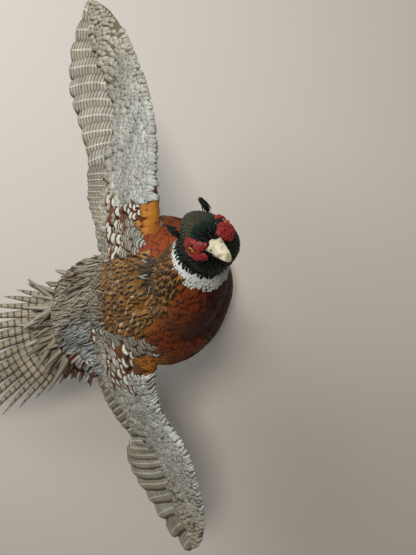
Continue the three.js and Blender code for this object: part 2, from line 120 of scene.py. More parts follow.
TAIL_AT = np.array((-100.0, -32.0, 4.0))
TAIL_RISE = 15.0
TAIL_SKEW = 18.0
# Lengths from the middle pair out, degrees between the feathers of each side, and bend of the longest.
TAIL_LENGTHS = (475, 446, 400, 348, 298, 250, 208, 176, 150)
TAIL_SPREAD = {1: 4.0, -1: 3.3}
TAIL_BEND = 9.0
TAIL_HALF_WIDTH = 13.5
# Half length, half width, half depth and shift to the left of the cushion at the tail's root.
TAIL_PAD = (92.0, 79.0, 13.0, -5.0)

THIGH_AT = (-26.0, 34.0, -48.0)
THIGH_SHIFT = -12.0
THIGH_LENGTH = 66.0
THIGH_RADIUS = 22.0

# The skin under the feathers: the share of the coat's depth that it sinks at neck and thighs, its depth at
# wings and tail, how far along a wing it reaches, how far that end lies in the trunk, the size of its
# voxels and the number of random places on it.
LIMB_COAT = 0.8
WING_COAT = 2.0
WING_FLESH_END = 0.74
WING_CORE = 26.0
SKIN_VOXEL = 2.4
SKIN_SAMPLES = 160000


# ---------- small maths ----------
def linear(code):
    """An sRGB hex colour as linear light, which is what the shaders take."""
    values = [int(code[i:i + 2], 16) / 255 for i in (0, 2, 4)]
    return tuple(v / 12.92 if v <= 0.04045 else ((v + 0.055) / 1.055) ** 2.4 for v in values)


def mix(a, b, t):
    return a + (b - a) * t


def ease(t):
    t = np.clip(t, 0, 1)
    return t * t * (3 - 2 * t)


def unit(vectors):
    return vectors / np.maximum(np.linalg.norm(vectors, axis=-1, keepdims=True), 1e-9)


def turns(sides):
    """Even angles round a section."""
    return 2 * np.pi * np.arange(sides) / sides


def turn_about(axis, degrees):
    """Rotation matrix about y or z."""
    c, s = math.cos(math.radians(degrees)), math.sin(math.radians(degrees))
    if axis == "y":
        return np.array([(c, 0, s), (0, 1, 0), (-s, 0, c)])
    return np.array([(c, -s, 0), (s, c, 0), (0, 0, 1)])


def table_value(table, column, x):
    """Smooth value of one column of a station table at positions x."""
    at, value = table[:, 0], table[:, column]
    last = len(at) - 1
    index = np.arange(last + 1)
    before, after = np.maximum(index - 1, 0), np.minimum(index + 1, last)
    slope = (value[after] - value[before]) / (at[after] - at[before])
    k = np.clip(np.searchsorted(at, x, side="right") - 1, 0, last - 1)
    span = at[k + 1] - at[k]
    t = (x - at[k]) / span
    rise = t * (1 - t) ** 2 * span * slope[k] + t * t * (t - 1) * span * slope[k + 1]
    return mix(value[k], value[k + 1], t * t * (3 - 2 * t)) + rise


def list_value(values, t):
    table = np.column_stack([np.linspace(0, 1, len(values)), values]).astype(float)
    return table_value(table, 1, t)


def curve_points(points, shares):
    """Centripetal curve through points, at shares from 0 to 1 of its segments."""
    p = np.asarray(points, float)
    last = len(p) - 1
    p = np.vstack([2 * p[0] - p[1], p, 2 * p[-1] - p[-2]])
    at = np.asarray(shares, float) * last
    k = np.clip(at.astype(int), 0, last - 1)
    w = (at - k)[:, None]
    x = [p[k + i] for i in range(4)]
    d = [np.maximum(np.sum((x[i + 1] - x[i]) ** 2, 1) ** 0.25, 1e-6)[:, None] for i in range(3)]
    start = ((x[1] - x[0]) / d[0] - (x[2] - x[0]) / (d[0] + d[1]) + (x[2] - x[1]) / d[1]) * d[1]
    end = ((x[2] - x[1]) / d[1] - (x[3] - x[1]) / (d[1] + d[2]) + (x[3] - x[2]) / d[2]) * d[1]
    square = -3 * x[1] + 3 * x[2] - 2 * start - end
    cube = 2 * x[1] - 2 * x[2] + start + end
    return x[1] + start * w + square * w ** 2 + cube * w ** 3


# ---------- frames ----------
def bird_axes():
    climb, bank = math.radians(CLIMB), math.radians(BANK)
    forward = np.array((math.cos(climb), 0, math.sin(climb)))
    left = LEFT * math.cos(bank) + np.cross(forward, LEFT) * math.sin(bank)
    return np.column_stack([forward, left, np.cross(forward, left)])


def head_axes():
    lift, turn = math.radians(HEAD_LIFT), math.radians(HEAD_TURN)
    look = np.array((math.cos(turn) * math.cos(lift), math.sin(turn) * math.cos(lift), math.sin(lift)))
    ear = np.array((-math.sin(turn), math.cos(turn), 0.0))
    return BIRD_AXES.T @ np.column_stack([look, ear, np.cross(look, ear)])


BIRD_AXES = bird_axes()
HEAD_AXES = head_axes()
TAIL_AXES = turn_about("y", TAIL_RISE) @ turn_about("z", TAIL_SKEW)


def to_row(points):
    return (np.asarray(points, float) @ BIRD_AXES.T + (0, 0, TRUNK_HEIGHT)) * MM


def on_head(points):
    return np.asarray(points, float) @ HEAD_AXES.T + HEAD_AT


def in_head(points):
    return (np.asarray(points, float) - HEAD_AT) @ HEAD_AXES


def on_tail(points):
    return np.asarray(points, float) @ TAIL_AXES.T + TAIL_AT


# ---------- sizes and colours that a user may change ----------
def colour(name, description, code):
    return FloatVectorProperty(name=name, description=description, subtype="COLOR", size=3, min=0, max=1,
                               default=linear(code))


def length(name, description, millimetres):
    return FloatProperty(name=name, description=description, default=millimetres * MM, min=0, unit="LENGTH")


class PHEASANT_PG_plumage(bpy.types.PropertyGroup):
    """Colours and depth of the plumage."""

    coat_depth: length("Coat Depth", "How far the skin lies under the tips of the body feathers", 4)
    head_depth: length("Head Coat Depth", "How far the skin lies under the small feathers of the head", 1.2)
    mantle_gold: colour("Mantle Gold", "Ground colour of the mantle feathers", "93692f")
    mantle_rust: colour("Mantle Rust", "Deeper colour that some mantle feathers take", "6c4620")
    nape_copper: colour("Nape Copper", "Ground colour of the nape hackles", "7d5228")
    shoulder_orange: colour("Shoulder Orange", "Brightest colour beside the wing roots", "a8702a")
    breast_copper: colour("Breast Copper", "Ground colour of the breast", "78350f")
    breast_maroon: colour("Breast Maroon", "Darker colour low on the breast", "3c120a")
    belly_brown: colour("Belly Brown", "Colour of the belly and the thighs", "21140e")
    flank_gold: colour("Flank Gold", "Colour of the flanks", "7e4a1f")
    scapular_chestnut: colour("Scapular Chestnut", "Ground colour of the scapulars", "6a3319")
    spot_cream: colour("Spot Cream", "Spots and fringes of scapulars and mantle", "c6c8b8")
    rump_sage: colour("Rump Sage", "Grey green of the rump", "a9a192")
    rump_blue: colour("Rump Blue", "Blue grey beside the rump", "8a979e")
    rump_rust: colour("Rump Rust", "Rusty hair-like feathers at the sides of the rump", "6e3718")
    covert_pale: colour("Covert Pale", "Pale ground of the wing coverts", "bdc3bf")
    covert_brown: colour("Covert Brown", "Brown that marks the wing coverts", "6a5f4f")
    vane_brown: colour("Flight Brown", "Dark bars of the flight feathers", "5b4936")
    vane_buff: colour("Flight Buff", "Pale bars of the flight feathers", "aca089")
    tail_olive: colour("Tail Olive", "Ground colour of the tail feathers", "8f846c")
    tail_bar: colour("Tail Bar", "Dark bars of the tail feathers", "3a2f24")
    ring_white: colour("Ring White", "White collar", "e2e6e3")
    head_black: colour("Head Black", "Face, throat and forehead", "040505")
    head_green: colour("Head Green", "Green gloss of the head", "0e2a20")
    crown_olive: colour("Crown Olive", "Olive bronze of the crown", "4d4938")
    mark_black: colour("Mark Black", "Black of the feather tips", "100c09")


class PHEASANT_PG_head(bpy.types.PropertyGroup):
    """Colours and sizes of the bare parts."""

    eye_radius: length("Eye Radius", "Radius of the glass eye", EYE_RADIUS - 0.2)
    iris_amber: colour("Iris Amber", "Colour of the iris", "c98710")
    wattle_scarlet: colour("Wattle Scarlet", "Bare skin round the eye", "8f201d")
    bill_ivory: colour("Bill Ivory", "Colour of the bill", "bdb79c")
    bill_shade: colour("Bill Shade", "Darker horn at the base and the edges of the bill", "8c8060")
    leg_grey: colour("Leg Grey", "Scales of the shanks and toes", "6d675a")
    claw_brown: colour("Claw Brown", "Claws and spurs", "2c241d")


class PHEASANT_PG_stand(bpy.types.PropertyGroup):
    """Finishes of the stand and the stage."""

    wood_light: colour("Wood Light", "Lighter grain of the base", "6b4427")
    wood_dark: colour("Wood Dark", "Darker grain of the base", "331e11")
    floor_pale: colour("Floor", "Colour of the plain floor", "cfc8be")


# ---------- meshes from arrays ----------
def new_object(name, data):
    """An object of some data, linked to the scene."""
    made = bpy.data.objects.new(name, data)
    bpy.context.scene.collection.objects.link(made)
    return made


def mesh_from_polygons(name, points, polygons):
    """A smooth object in the row frame from bird-frame points and groups of equal-sided polygons."""
    corners = np.concatenate([p.ravel() for p in polygons]).astype(np.int32)
    totals = np.concatenate([np.full(len(p), p.shape[1]) for p in polygons]).astype(np.int32)
    starts = np.concatenate([[0], np.cumsum(totals)[:-1]]).astype(np.int32)
    mesh = bpy.data.meshes.new(name)
    mesh.vertices.add(len(points))
    mesh.vertices.foreach_set("co", to_row(points).astype(np.float32).ravel())
    mesh.loops.add(len(corners))
    mesh.loops.foreach_set("vertex_index", corners)
    mesh.polygons.add(len(totals))
    mesh.polygons.foreach_set("loop_start", starts)
    mesh.polygons.foreach_set("loop_total", totals)
    mesh.polygons.foreach_set("use_smooth", np.full(len(totals), True))
    mesh.update(calc_edges=True)
    mesh.validate()
    return new_object(name, mesh)


def read_vectors(made, key):
    """Places or normals of a mesh's points."""
    values = np.zeros(len(made.data.vertices) * 3, np.float32)
    made.data.vertices.foreach_get(key, values)
    return values.reshape(-1, 3)


def add_uv(made, name, per_point):
    corners = np.zeros(len(made.data.loops), np.int32)
    made.data.loops.foreach_get("vertex_index", corners)
    layer = made.data.uv_layers.new(name=name)
    layer.data.foreach_set("uv", per_point[corners].astype(np.float32).ravel())


def add_colour(made, name, per_point):
    layer = made.data.attributes.new(name, "FLOAT_COLOR", "POINT")
    values = np.column_stack([per_point, np.ones(len(per_point))])
    layer.data.foreach_set("color", values.astype(np.float32).ravel())


def loop_polygons(rings, sides, closed=True):
    """Quads between rings; when closed, also those from the last ring to the first."""
    r, i = np.meshgrid(np.arange(rings if closed else rings - 1), np.arange(sides), indexing="ij")
    after, j = (r + 1) % rings * sides, (i + 1) % sides
    return np.stack([r * sides + i, r * sides + j, after + j, after + i], -1).reshape(-1, 4)


def ring_polygons(rings, sides):
    """Polygons of a tube of rings, with a polygon over each end."""
    first = np.arange(sides)[::-1][None]
    last = ((rings - 1) * sides + np.arange(sides))[None]
    return [loop_polygons(rings, sides, False), first, last]


# ---------- feathers ----------
# Half width at these shares of a feather's length, for each cut of feather.
CUT_AT = (0, 0.25, 0.55, 0.78, 0.94, 1.0)
CUTS = {
    "round": (0.30, 0.66, 0.93, 1.0, 0.80, 0.16),
    "leaf": (0.32, 0.74, 1.0, 0.90, 0.56, 0.08),
    "lance": (0.34, 0.80, 1.0, 0.72, 0.38, 0.04),
    "hair": (0.55, 0.85, 0.80, 0.60, 0.34, 0.05),
}
# Across and along a short vane's own patch of the bake layout.
BAKE_PATCH = (0.0015, 0.003)


def cut_width(cut, v):
    table = np.column_stack([CUT_AT, CUTS[cut]]).astype(float)
    return np.maximum(table_value(table, 1, v), 0.02)


class Feathers:
    """A batch of vanes: each is a closed, thin, cambered blade that follows its centre line."""

    def __init__(self, name, columns):
        self.name, self.columns = name, columns
        self.parts = []

    def add(self, centre, up, left, right, v, quill, sag, ground, mark, root_uv, strip=None):
        """Adds n vanes of k rings.

        centre and up are (n, k, 3), left and right (n, k), v (k), ground and mark (n, 3), root_uv (n, 2).
        """
        along = unit(np.gradient(centre, axis=1))
        up = unit(up - along * np.sum(up * along, -1, keepdims=True))
        across = np.cross(along, up)
        u = np.linspace(-1, 1, self.columns)
        half = np.where(u[None, None] < 0, left[..., None], right[..., None])
        out = u * half
        drop = sag * half * np.abs(u) ** 1.6
        sheet = centre[:, :, None] + across[:, :, None] * out[..., None] - up[:, :, None] * drop[..., None]
        body = up[:, :, None] * (quill * (1 - np.abs(u) ** 1.5))[None, None, :, None]
        below = slice(-2, 0, -1)
        wide = np.concatenate([u, u[below]])
        shape = (*centre.shape[:2], len(wide))
        reach = np.pad(np.cumsum(np.linalg.norm(np.diff(centre, axis=1), axis=-1), 1), ((0, 0), (1, 0)))
        spread = lambda *values: np.stack([np.broadcast_to(value, shape) for value in values], -1)
        tint = lambda shade: np.broadcast_to(shade[:, None, None], shape + (3,))
        vane = spread(wide / 2 + 0.5, v[:, None])
        patch = spread(wide * BAKE_PATCH[0], (v[:, None] - 0.5) * BAKE_PATCH[1])
        values = {
            "points": np.concatenate([sheet + body, (sheet - body)[:, :, below]], 2),
            "OFBake": root_uv[:, None, None] + patch if strip is None else strip(vane, root_uv),
            "Vane": vane,
            "Cloth": spread(np.concatenate([out, out[:, :, below]], 2), reach[..., None]) / 10,
            "ground": tint(ground),
            "mark": tint(mark),
        }
        flat = {key: value.reshape(-1, value.shape[-1]) for key, value in values.items()}
        self.parts.append((shape, flat))

    def build(self):
        polygons, start = {}, 0
        for (n, k, sides), _ in self.parts:
            base = start + np.arange(n)[:, None, None] * (k * sides)
            for group in ring_polygons(k, sides):
                corners = group.shape[1]
                polygons.setdefault(corners, []).append((base + group).reshape(-1, corners))
            start += n * k * sides
        joined = lambda key: np.concatenate([values[key] for _, values in self.parts])
        groups = [np.concatenate(group) for group in polygons.values()]
        made = mesh_from_polygons(self.name, joined("points"), groups)
        for key in ("OFBake", "Vane", "Cloth"):
            add_uv(made, key, joined(key))
        for key in ("ground", "mark"):
            add_colour(made, key, joined(key))
        return made


def bake_strips(n):
    """Middles of n strips of the bake layout, and what spreads each long vane over its own."""
    middles = np.column_stack([(np.arange(n) + 0.5) / n, np.full(n, 0.5)])
    return middles, lambda vane, root: root[:, None, None] + (vane - 0.5) * (0.9 / n, 0.96)


def finish_piece(made, material, slot, *nodes):
    """Gives a piece its material, lets it ride on the one body and hides the solids it stands for."""
    if material is not None:
        made.data.materials.append(material)
    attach(made, "root")
    if nodes:
        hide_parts(*nodes)


def in_unit(uv):
    """Places of the unit square, drawn in a little from its edge."""
    return 0.01 + 0.98 * uv


def fit_unit(uv):
    """Spreads places over the unit square, clear of its edge."""
    low, high = uv.min(0), uv.max(0)
    return in_unit((uv - low) / np.maximum(high - low, 1e-6))


# ---------- forms under the feathers ----------
def oval_form(table, rings, sides, grow, pinch=0.0):
    """Rings of a body of oval sections in its own frame."""
    share = (1 - np.cos(np.pi * np.arange(rings) / (rings - 1))) / 2
    inside = mix(table[0, 0], table[-1, 0], share)
    x = mix(table[0, 0] - grow, table[-1, 0] + grow, share)
    wide, top, low = (table_value(table, c, inside) for c in (1, 2, 3))
    side = table_value(table, 4, inside) if table.shape[1] > 4 else np.zeros(rings)
    turn = turns(sides)
    wide, top, low = np.maximum(wide + grow, 0.6), top + grow, low - grow
    y = side[:, None] + wide[:, None] * np.cos(turn) * (1 - pinch * np.sin(turn))
    z = ((top + low) / 2)[:, None] + np.sin(turn) * ((top - low) / 2)[:, None]
    return np.stack(np.broadcast_arrays(x[:, None], y, z), -1)


def tube_form(line, across, through, sides, grow=0.0):
    """Rings of a tube along a line of points, with its half width and half depth."""
    tangent = unit(np.gradient(line, axis=0))
    out = unit(LEFT - tangent * (tangent @ LEFT)[:, None])
    up = np.cross(tangent, out)
    turn = turns(sides)
    a, b = np.maximum(across + grow, 0.4), np.maximum(through + grow, 0.4)
    return (line[:, None] + out[:, None] * (a[:, None] * np.cos(turn))[..., None]
            + up[:, None] * (b[:, None] * np.sin(turn))[..., None])


def neck_form(grow):
    t = np.linspace(0, 1, 24)
    across, through = list_value(NECK_ACROSS, t), list_value(NECK_THROUGH, t)
    return tube_form(curve_points(NECK_LINE, t), across, through, 40, grow)


def thigh_line(side):
    x, y, z = THIGH_AT
    steps = [(8, 0, 10), (-18, 2, -9), (-THIGH_LENGTH * 0.86, -6, -THIGH_LENGTH * 0.42)]
    return np.array([(x + a, THIGH_SHIFT + side * (y + b), z + c) for a, b, c in steps])


def thigh_form(side, grow):
    t = np.linspace(0, 1, 16)
    radii = list_value((THIGH_RADIUS, THIGH_RADIUS, 6.5), t)
    return tube_form(curve_points(thigh_line(side), t), radii, radii, 28, grow)


class Wing:
    """One wing's surface: shares run from shoulder to tip, chords from the front edge to the rear."""

    def __init__(self, pose):
        self.side, self.wrist = pose["side"], pose["wrist"]
        self.droop = math.radians(pose["droop"])
        self.shares = np.linspace(0, 1, 401)
        self.front = curve_points(self.in_bird(pose["front"]), self.shares)
        self.rear = curve_points(self.in_bird(pose["rear"]), self.shares)
        self.up = np.array((0.0, self.side * math.sin(self.droop), math.cos(self.droop)))
        self.outward = np.array((0.0, self.side * math.cos(self.droop), -math.sin(self.droop)))

    def in_bird(self, pairs):
        out, ahead = np.asarray(pairs, float).T
        y = self.side * (SHOULDER_OUT + out * math.cos(self.droop))
        return np.column_stack([ahead, y, SHOULDER_UP - out * math.sin(self.droop)])

    def edges(self, share):
        pick = lambda line: np.stack([np.interp(share, self.shares, line[:, i]) for i in range(3)], -1)
        return pick(self.front), pick(self.rear)

    def thick(self, share):
        past = np.clip((share - self.wrist) / (1 - self.wrist), 0, 1)
        arm = mix(ROOT_THICK, WRIST_THICK, np.clip(share / self.wrist, 0, 1))
        return np.where(past > 0, mix(WRIST_THICK, TIP_THICK, np.sqrt(past)), arm)

    def surface(self, share, chord, face):
        """Point on the upper (1), lower (-1) or middle (0) face."""
        lead, trail = self.edges(share)
        width = np.linalg.norm(trail - lead, axis=-1)
        t = np.clip(chord, 0, 1)
        bulge = np.minimum(1, 2.3 * np.sqrt(t)) * (1 - t) ** 1.7
        point = mix(lead, trail, chord[..., None])
        thick = self.thick(share) * FACE_SHARES[face] * bulge
        point[..., 2] += face * (thick + 0.6) - CAMBER * width * t * t
        return point

    def chord_length(self, share):
        lead, trail = self.edges(share)
        return np.linalg.norm(trail - lead, axis=-1)

    def flesh(self, share):
        """How far back along the chord the flesh reaches."""
        return np.interp(share, (0, 0.2, self.wrist, 0.8, 1), (0.84, 0.66, 0.5, 0.3, 0.2))

    def form(self, grow):
        """Rings of the flesh of the wing."""
        share = np.linspace(0, WING_FLESH_END, 60)
        reach = self.flesh(share)
        steps = np.array((0.03, 0.08, 0.2, 0.4, 0.65, 0.85, 1.0))
        top = np.stack([self.surface(share, reach * s, 1) for s in steps], 1)
        low = np.stack([self.surface(share, reach * s, -1) for s in steps[::-1]], 1)
        ring = np.concatenate([top, low], 1)
        middle = (top + low[:, ::-1]) / 2
        middle = np.concatenate([middle, middle[:, ::-1]], 1)
        off = ring - middle
        depth = np.linalg.norm(off, axis=-1, keepdims=True)
        ring = middle + off / np.maximum(depth, 1e-6) * np.maximum(depth + grow, 1.6)
        inner = ring[0] - (0, self.side * WING_CORE, 0)
        return np.concatenate([inner[None], ring])


WING = {name: Wing(pose) for name, pose in WINGS.items()}


def pad_form(grow):
    """The cushion at the tail's root, as rings."""
    long, wide, deep, shift = TAIL_PAD
    t = np.linspace(0.02, 0.98, 24) * np.pi
    turn = turns(40)
    x = -(long + grow) * np.cos(t)[:, None]
    y = shift + (wide + grow) * np.sin(t)[:, None] * np.cos(turn)
    z = (deep + grow) * np.sin(t)[:, None] * np.sin(turn)
    return on_tail(np.stack(np.broadcast_arrays(x, y, z), -1))


def build_skin(plumage):
    """One closed skin round trunk, neck, head, thighs, wings and the tail's root."""
    coat, cap = -plumage.coat_depth / MM, -plumage.head_depth / MM
    forms = [oval_form(TRUNK, 36, 48, coat), neck_form(coat * LIMB_COAT)]
    forms.append(on_head(oval_form(HEAD, 30, 40, cap, HEAD_PINCH)))
    forms += [thigh_form(side, coat * LIMB_COAT) for side in SIDES]
    forms += [wing.form(-WING_COAT) for wing in WING.values()]
    forms.append(pad_form(-WING_COAT))
    raw = solid(forms_mesh("skin_raw", forms))
    remesh = raw.modifiers.new("Blend", "REMESH")
    remesh.mode = "VOXEL"
    remesh.voxel_size = SKIN_VOXEL * MM
    smooth = raw.modifiers.new("Smooth", "SMOOTH")
    smooth.factor = 0.5
    smooth.iterations = 6
    return applied(raw, "skin")


def solid(made):
    """Turns every face of a mesh of closed shells outwards."""
    work = bmesh.new()
    work.from_mesh(made.data)
    bmesh.ops.recalc_face_normals(work, faces=work.faces)
    work.to_mesh(made.data)
    work.free()
    return made


def applied(made, name):
    """A plain mesh of an object with its modifiers' result; the first object is removed."""
    bpy.context.view_layer.update()
    graph = bpy.context.evaluated_depsgraph_get()
    mesh = bpy.data.meshes.new_from_object(made.evaluated_get(graph))
    mesh.name = name
    bpy.data.objects.remove(made)
    return new_object(name, mesh)


# ---------- places on the skin ----------
def from_row(points):
    return (np.asarray(points, float) / MM - (0, 0, TRUNK_HEIGHT)) @ BIRD_AXES


def spine():
    """Middle line from the rump to the crown, with the way ahead at each point."""
    x = np.arange(-130, 66, 5.0)
    middle = (table_value(TRUNK, 2, x) + table_value(TRUNK, 3, x)) / 2
    trunk = np.column_stack([x, table_value(TRUNK, 4, x), middle])
    neck = curve_points(NECK_LINE, np.linspace(0.12, 1, 18))
    head = on_head([(f, 0, -4) for f in range(-6, 34, 4)])
    line = np.concatenate([trunk, neck, head])
    way = np.pad(unit(np.gradient(line, axis=0)), ((3, 3), (0, 0)), "edge")
    even = [np.convolve(column, np.ones(7) / 7, "valid") for column in way.T]
    return line, unit(np.stack(even, 1))


SPINE, SPINE_WAY = spine()
# The collar lies in this plane across the neck; its distance is positive towards the head.
COLLAR_AT = np.array((126.0, 52.0, 77.0))
COLLAR_WAY = unit(np.array((0.755, 0.468, 0.459)))


class Places:
    """Points on the skin with what the feather tracts need to know about them."""

    def __init__(self, points, normals):
        self.p, self.n = points, normals
        self.x, self.y, self.z = points.T
        gap = np.linalg.norm(points[:, None] - SPINE[None], axis=-1)
        # Every part of the middle line tells the way ahead, the nearest ones by far the most.
        self.ahead = unit(1 / (gap + 4.0) ** 4 @ SPINE_WAY)
        off = points - SPINE[gap.argmin(1)]
        left = unit(LEFT - self.ahead * self.ahead[:, 1:2])
        up = np.cross(self.ahead, left)
        self.roll = np.degrees(np.arctan2(np.sum(off * left, 1), np.sum(off * up, 1)))
        # The throat's black feathers reach further down than those of the nape.
        self.collar = (points - COLLAR_AT) @ COLLAR_WAY + np.interp(self.z, (16, 46), (11, 0))
        self.head = in_head(points)
        self.out = np.abs(self.y) - SHOULDER_OUT

    def only(self, mask):
        kept = object.__new__(Places)
        for key, value in self.__dict__.items():
            setattr(kept, key, value[mask])
        return kept

    def from_nearest(self, spots):
        """Distance to the nearest of some spots, as a column."""
        return np.linalg.norm(self.p[:, None] - spots[None], axis=-1).min(1)[:, None]

    def __len__(self):
        return len(self.p)


def sample_skin(skin, count, seed):
    """Random points on the skin in the bird's frame, their normals, the area of each, and a search tree."""
    mesh = skin.data
    mesh.calc_loop_triangles()
    corners = np.zeros(len(mesh.loop_triangles) * 3, np.int32)
    mesh.loop_triangles.foreach_get("vertices", corners)
    points = from_row(read_vectors(skin, "co"))
    triangles = points[corners.reshape(-1, 3)]
    cross = np.cross(triangles[:, 1] - triangles[:, 0], triangles[:, 2] - triangles[:, 0])
    area = np.linalg.norm(cross, axis=1) / 2
    rng = np.random.default_rng(seed)
    pick = rng.choice(len(area), count, p=area / area.sum())
    a, b = rng.random(count), rng.random(count)
    flip = a + b > 1
    a[flip], b[flip] = 1 - a[flip], 1 - b[flip]
    t = triangles[pick]
    where = t[:, 0] + (t[:, 1] - t[:, 0]) * a[:, None] + (t[:, 2] - t[:, 0]) * b[:, None]
    tree = BVHTree.FromPolygons(points.tolist(), corners.reshape(-1, 3).tolist())
    return where, unit(cross[pick]), area.sum() / count, tree


def thin_out(points, gap, rng):
    """Indices of points that keep at least the gap from each other."""
    cells, kept = {}, []
    keys = np.floor(points / gap).astype(int)
    for i in rng.permutation(len(points)):
        p = points[i]
        near = (q for cell in product(*((c - 1, c, c + 1) for c in keys[i])) for q in cells.get(cell, ()))
        if all((p[0] - q[0]) ** 2 + (p[1] - q[1]) ** 2 + (p[2] - q[2]) ** 2 >= gap * gap for q in near):
            cells.setdefault(tuple(keys[i]), []).append(p)
            kept.append(i)
    return np.array(kept, int)


BODY_STEPS = np.array((0, 0.2, 0.42, 0.62, 0.8, 0.93, 1.0))


def lay_on_skin(tree, roots, normals, ways, reach, base, lift, steps):
    """Centre lines that follow the skin from each root, rising from base to base + lift above it."""
    centres = np.zeros((len(roots), len(steps), 3))
    ups = np.zeros_like(centres)
    for i in range(len(roots)):
        at, n, way = Vector(roots[i]), Vector(normals[i]), Vector(ways[i])
        before = 0.0
        for j, v in enumerate(steps):
            step = (v - before) * reach[i]
            before = v
            if step > 0:
                aim = at + way * step
                hit, hit_n, _, gap = tree.find_nearest(aim)
                # It leaves the skin where that turns away sharply or lies too far off.
                if hit is not None and hit_n.dot(n) > 0.3 and gap < step + 3:
                    at, n = hit, n.lerp(hit_n, 0.7).normalized()
                else:
                    at = aim
                way = (way - n * way.dot(n)).normalized()
            height = base + lift[i] * v ** 1.25
            centres[i, j] = at + n * height
            ups[i, j] = n
    return centres, ups


# ---------- materials ----------
def output_of(node):
    """A node's first output in use."""
    return next(o for o in node.outputs if o.enabled)


def add(tree, kind, links=None, **settings):
    """Adds a node with its settings and links. A node given as a value links its first output in use."""
    node = tree.nodes.new(kind)
    for key, value in settings.items():
        setattr(node, key, value)
    for key, value in (links or {}).items():
        socket = node.inputs[key] if isinstance(key, int) else next(
            s for s in node.inputs if s.enabled and s.name == key)
        if isinstance(value, bpy.types.Node):
            value = output_of(value)
        if isinstance(value, bpy.types.NodeSocket):
            tree.links.new(value, socket)
        else:
            socket.default_value = value
    return node


def rgba(values):
    return (*values[:3], 1.0)


def dyes(group, *names):
    """Colours of a property group as arrays."""
    return [np.array(getattr(group, name)) for name in names]


def new_material(name, **surface):
    """A material with its Principled shader set; colours are given as linear light."""
    material = bpy.data.materials.new(name)
    material.use_nodes = True
    shader = material.node_tree.nodes["Principled BSDF"]
    for key, value in surface.items():
        socket = shader.inputs[key.replace("_", " ")]
        socket.default_value = rgba(value) if isinstance(value, tuple) else value
    return material, material.node_tree, shader


def band(tree, value, rise=(-2.0, -1.0), fall=(8.0, 9.0)):
    """One between the two slopes and nothing outside them; a slope left out lies beyond every value."""
    up = add(tree, "ShaderNodeMapRange", {"Value": value, "From Min": rise[0], "From Max": rise[1]},
             interpolation_type="SMOOTHSTEP")
    down = add(tree, "ShaderNodeMapRange", {"Value": value, "From Min": fall[0], "From Max": fall[1],
                                            "To Min": 1.0, "To Max": 0.0}, interpolation_type="SMOOTHSTEP")
    return add(tree, "ShaderNodeMath", {0: up, 1: down}, operation="MULTIPLY")


def paint(tree, base, over, *masks):
    """Lays a colour over another through the product of its masks."""
    product = masks[0]
    for mask in masks[1:]:
        product = add(tree, "ShaderNodeMath", {0: product, 1: mask}, operation="MULTIPLY")
    return add(tree, "ShaderNodeMix", {"Factor": product, "A": base, "B": over}, data_type="RGBA")


def stripes(tree, value, period):
    """A sine wave of a value, from -1 to 1, with the given period."""
    turn = add(tree, "ShaderNodeMath", {0: value, 1: 2 * math.pi / period}, operation="MULTIPLY")
    return add(tree, "ShaderNodeMath", {0: turn}, operation="SINE")


def dress(tree, shader, base, height=None, strength=0.5, depth=0.3):
    """Gives a shader its base colour and, from a height, a relief as deep as some millimetres."""
    tree.links.new(output_of(base), shader.inputs["Base Color"])
    if height is not None:
        relief = add(tree, "ShaderNodeBump", {
            "Height": height, "Strength": strength, "Distance": depth * MM})
        tree.links.new(relief.outputs["Normal"], shader.inputs["Normal"])


# Periods in centimetres along a vane. Real coverts are scribbled 0.6 mm apart and real barbs 0.3 mm; both
# are drawn coarser so that they show.
SCRIBBLE_PERIOD = 0.22
BARB_PERIOD = 0.11


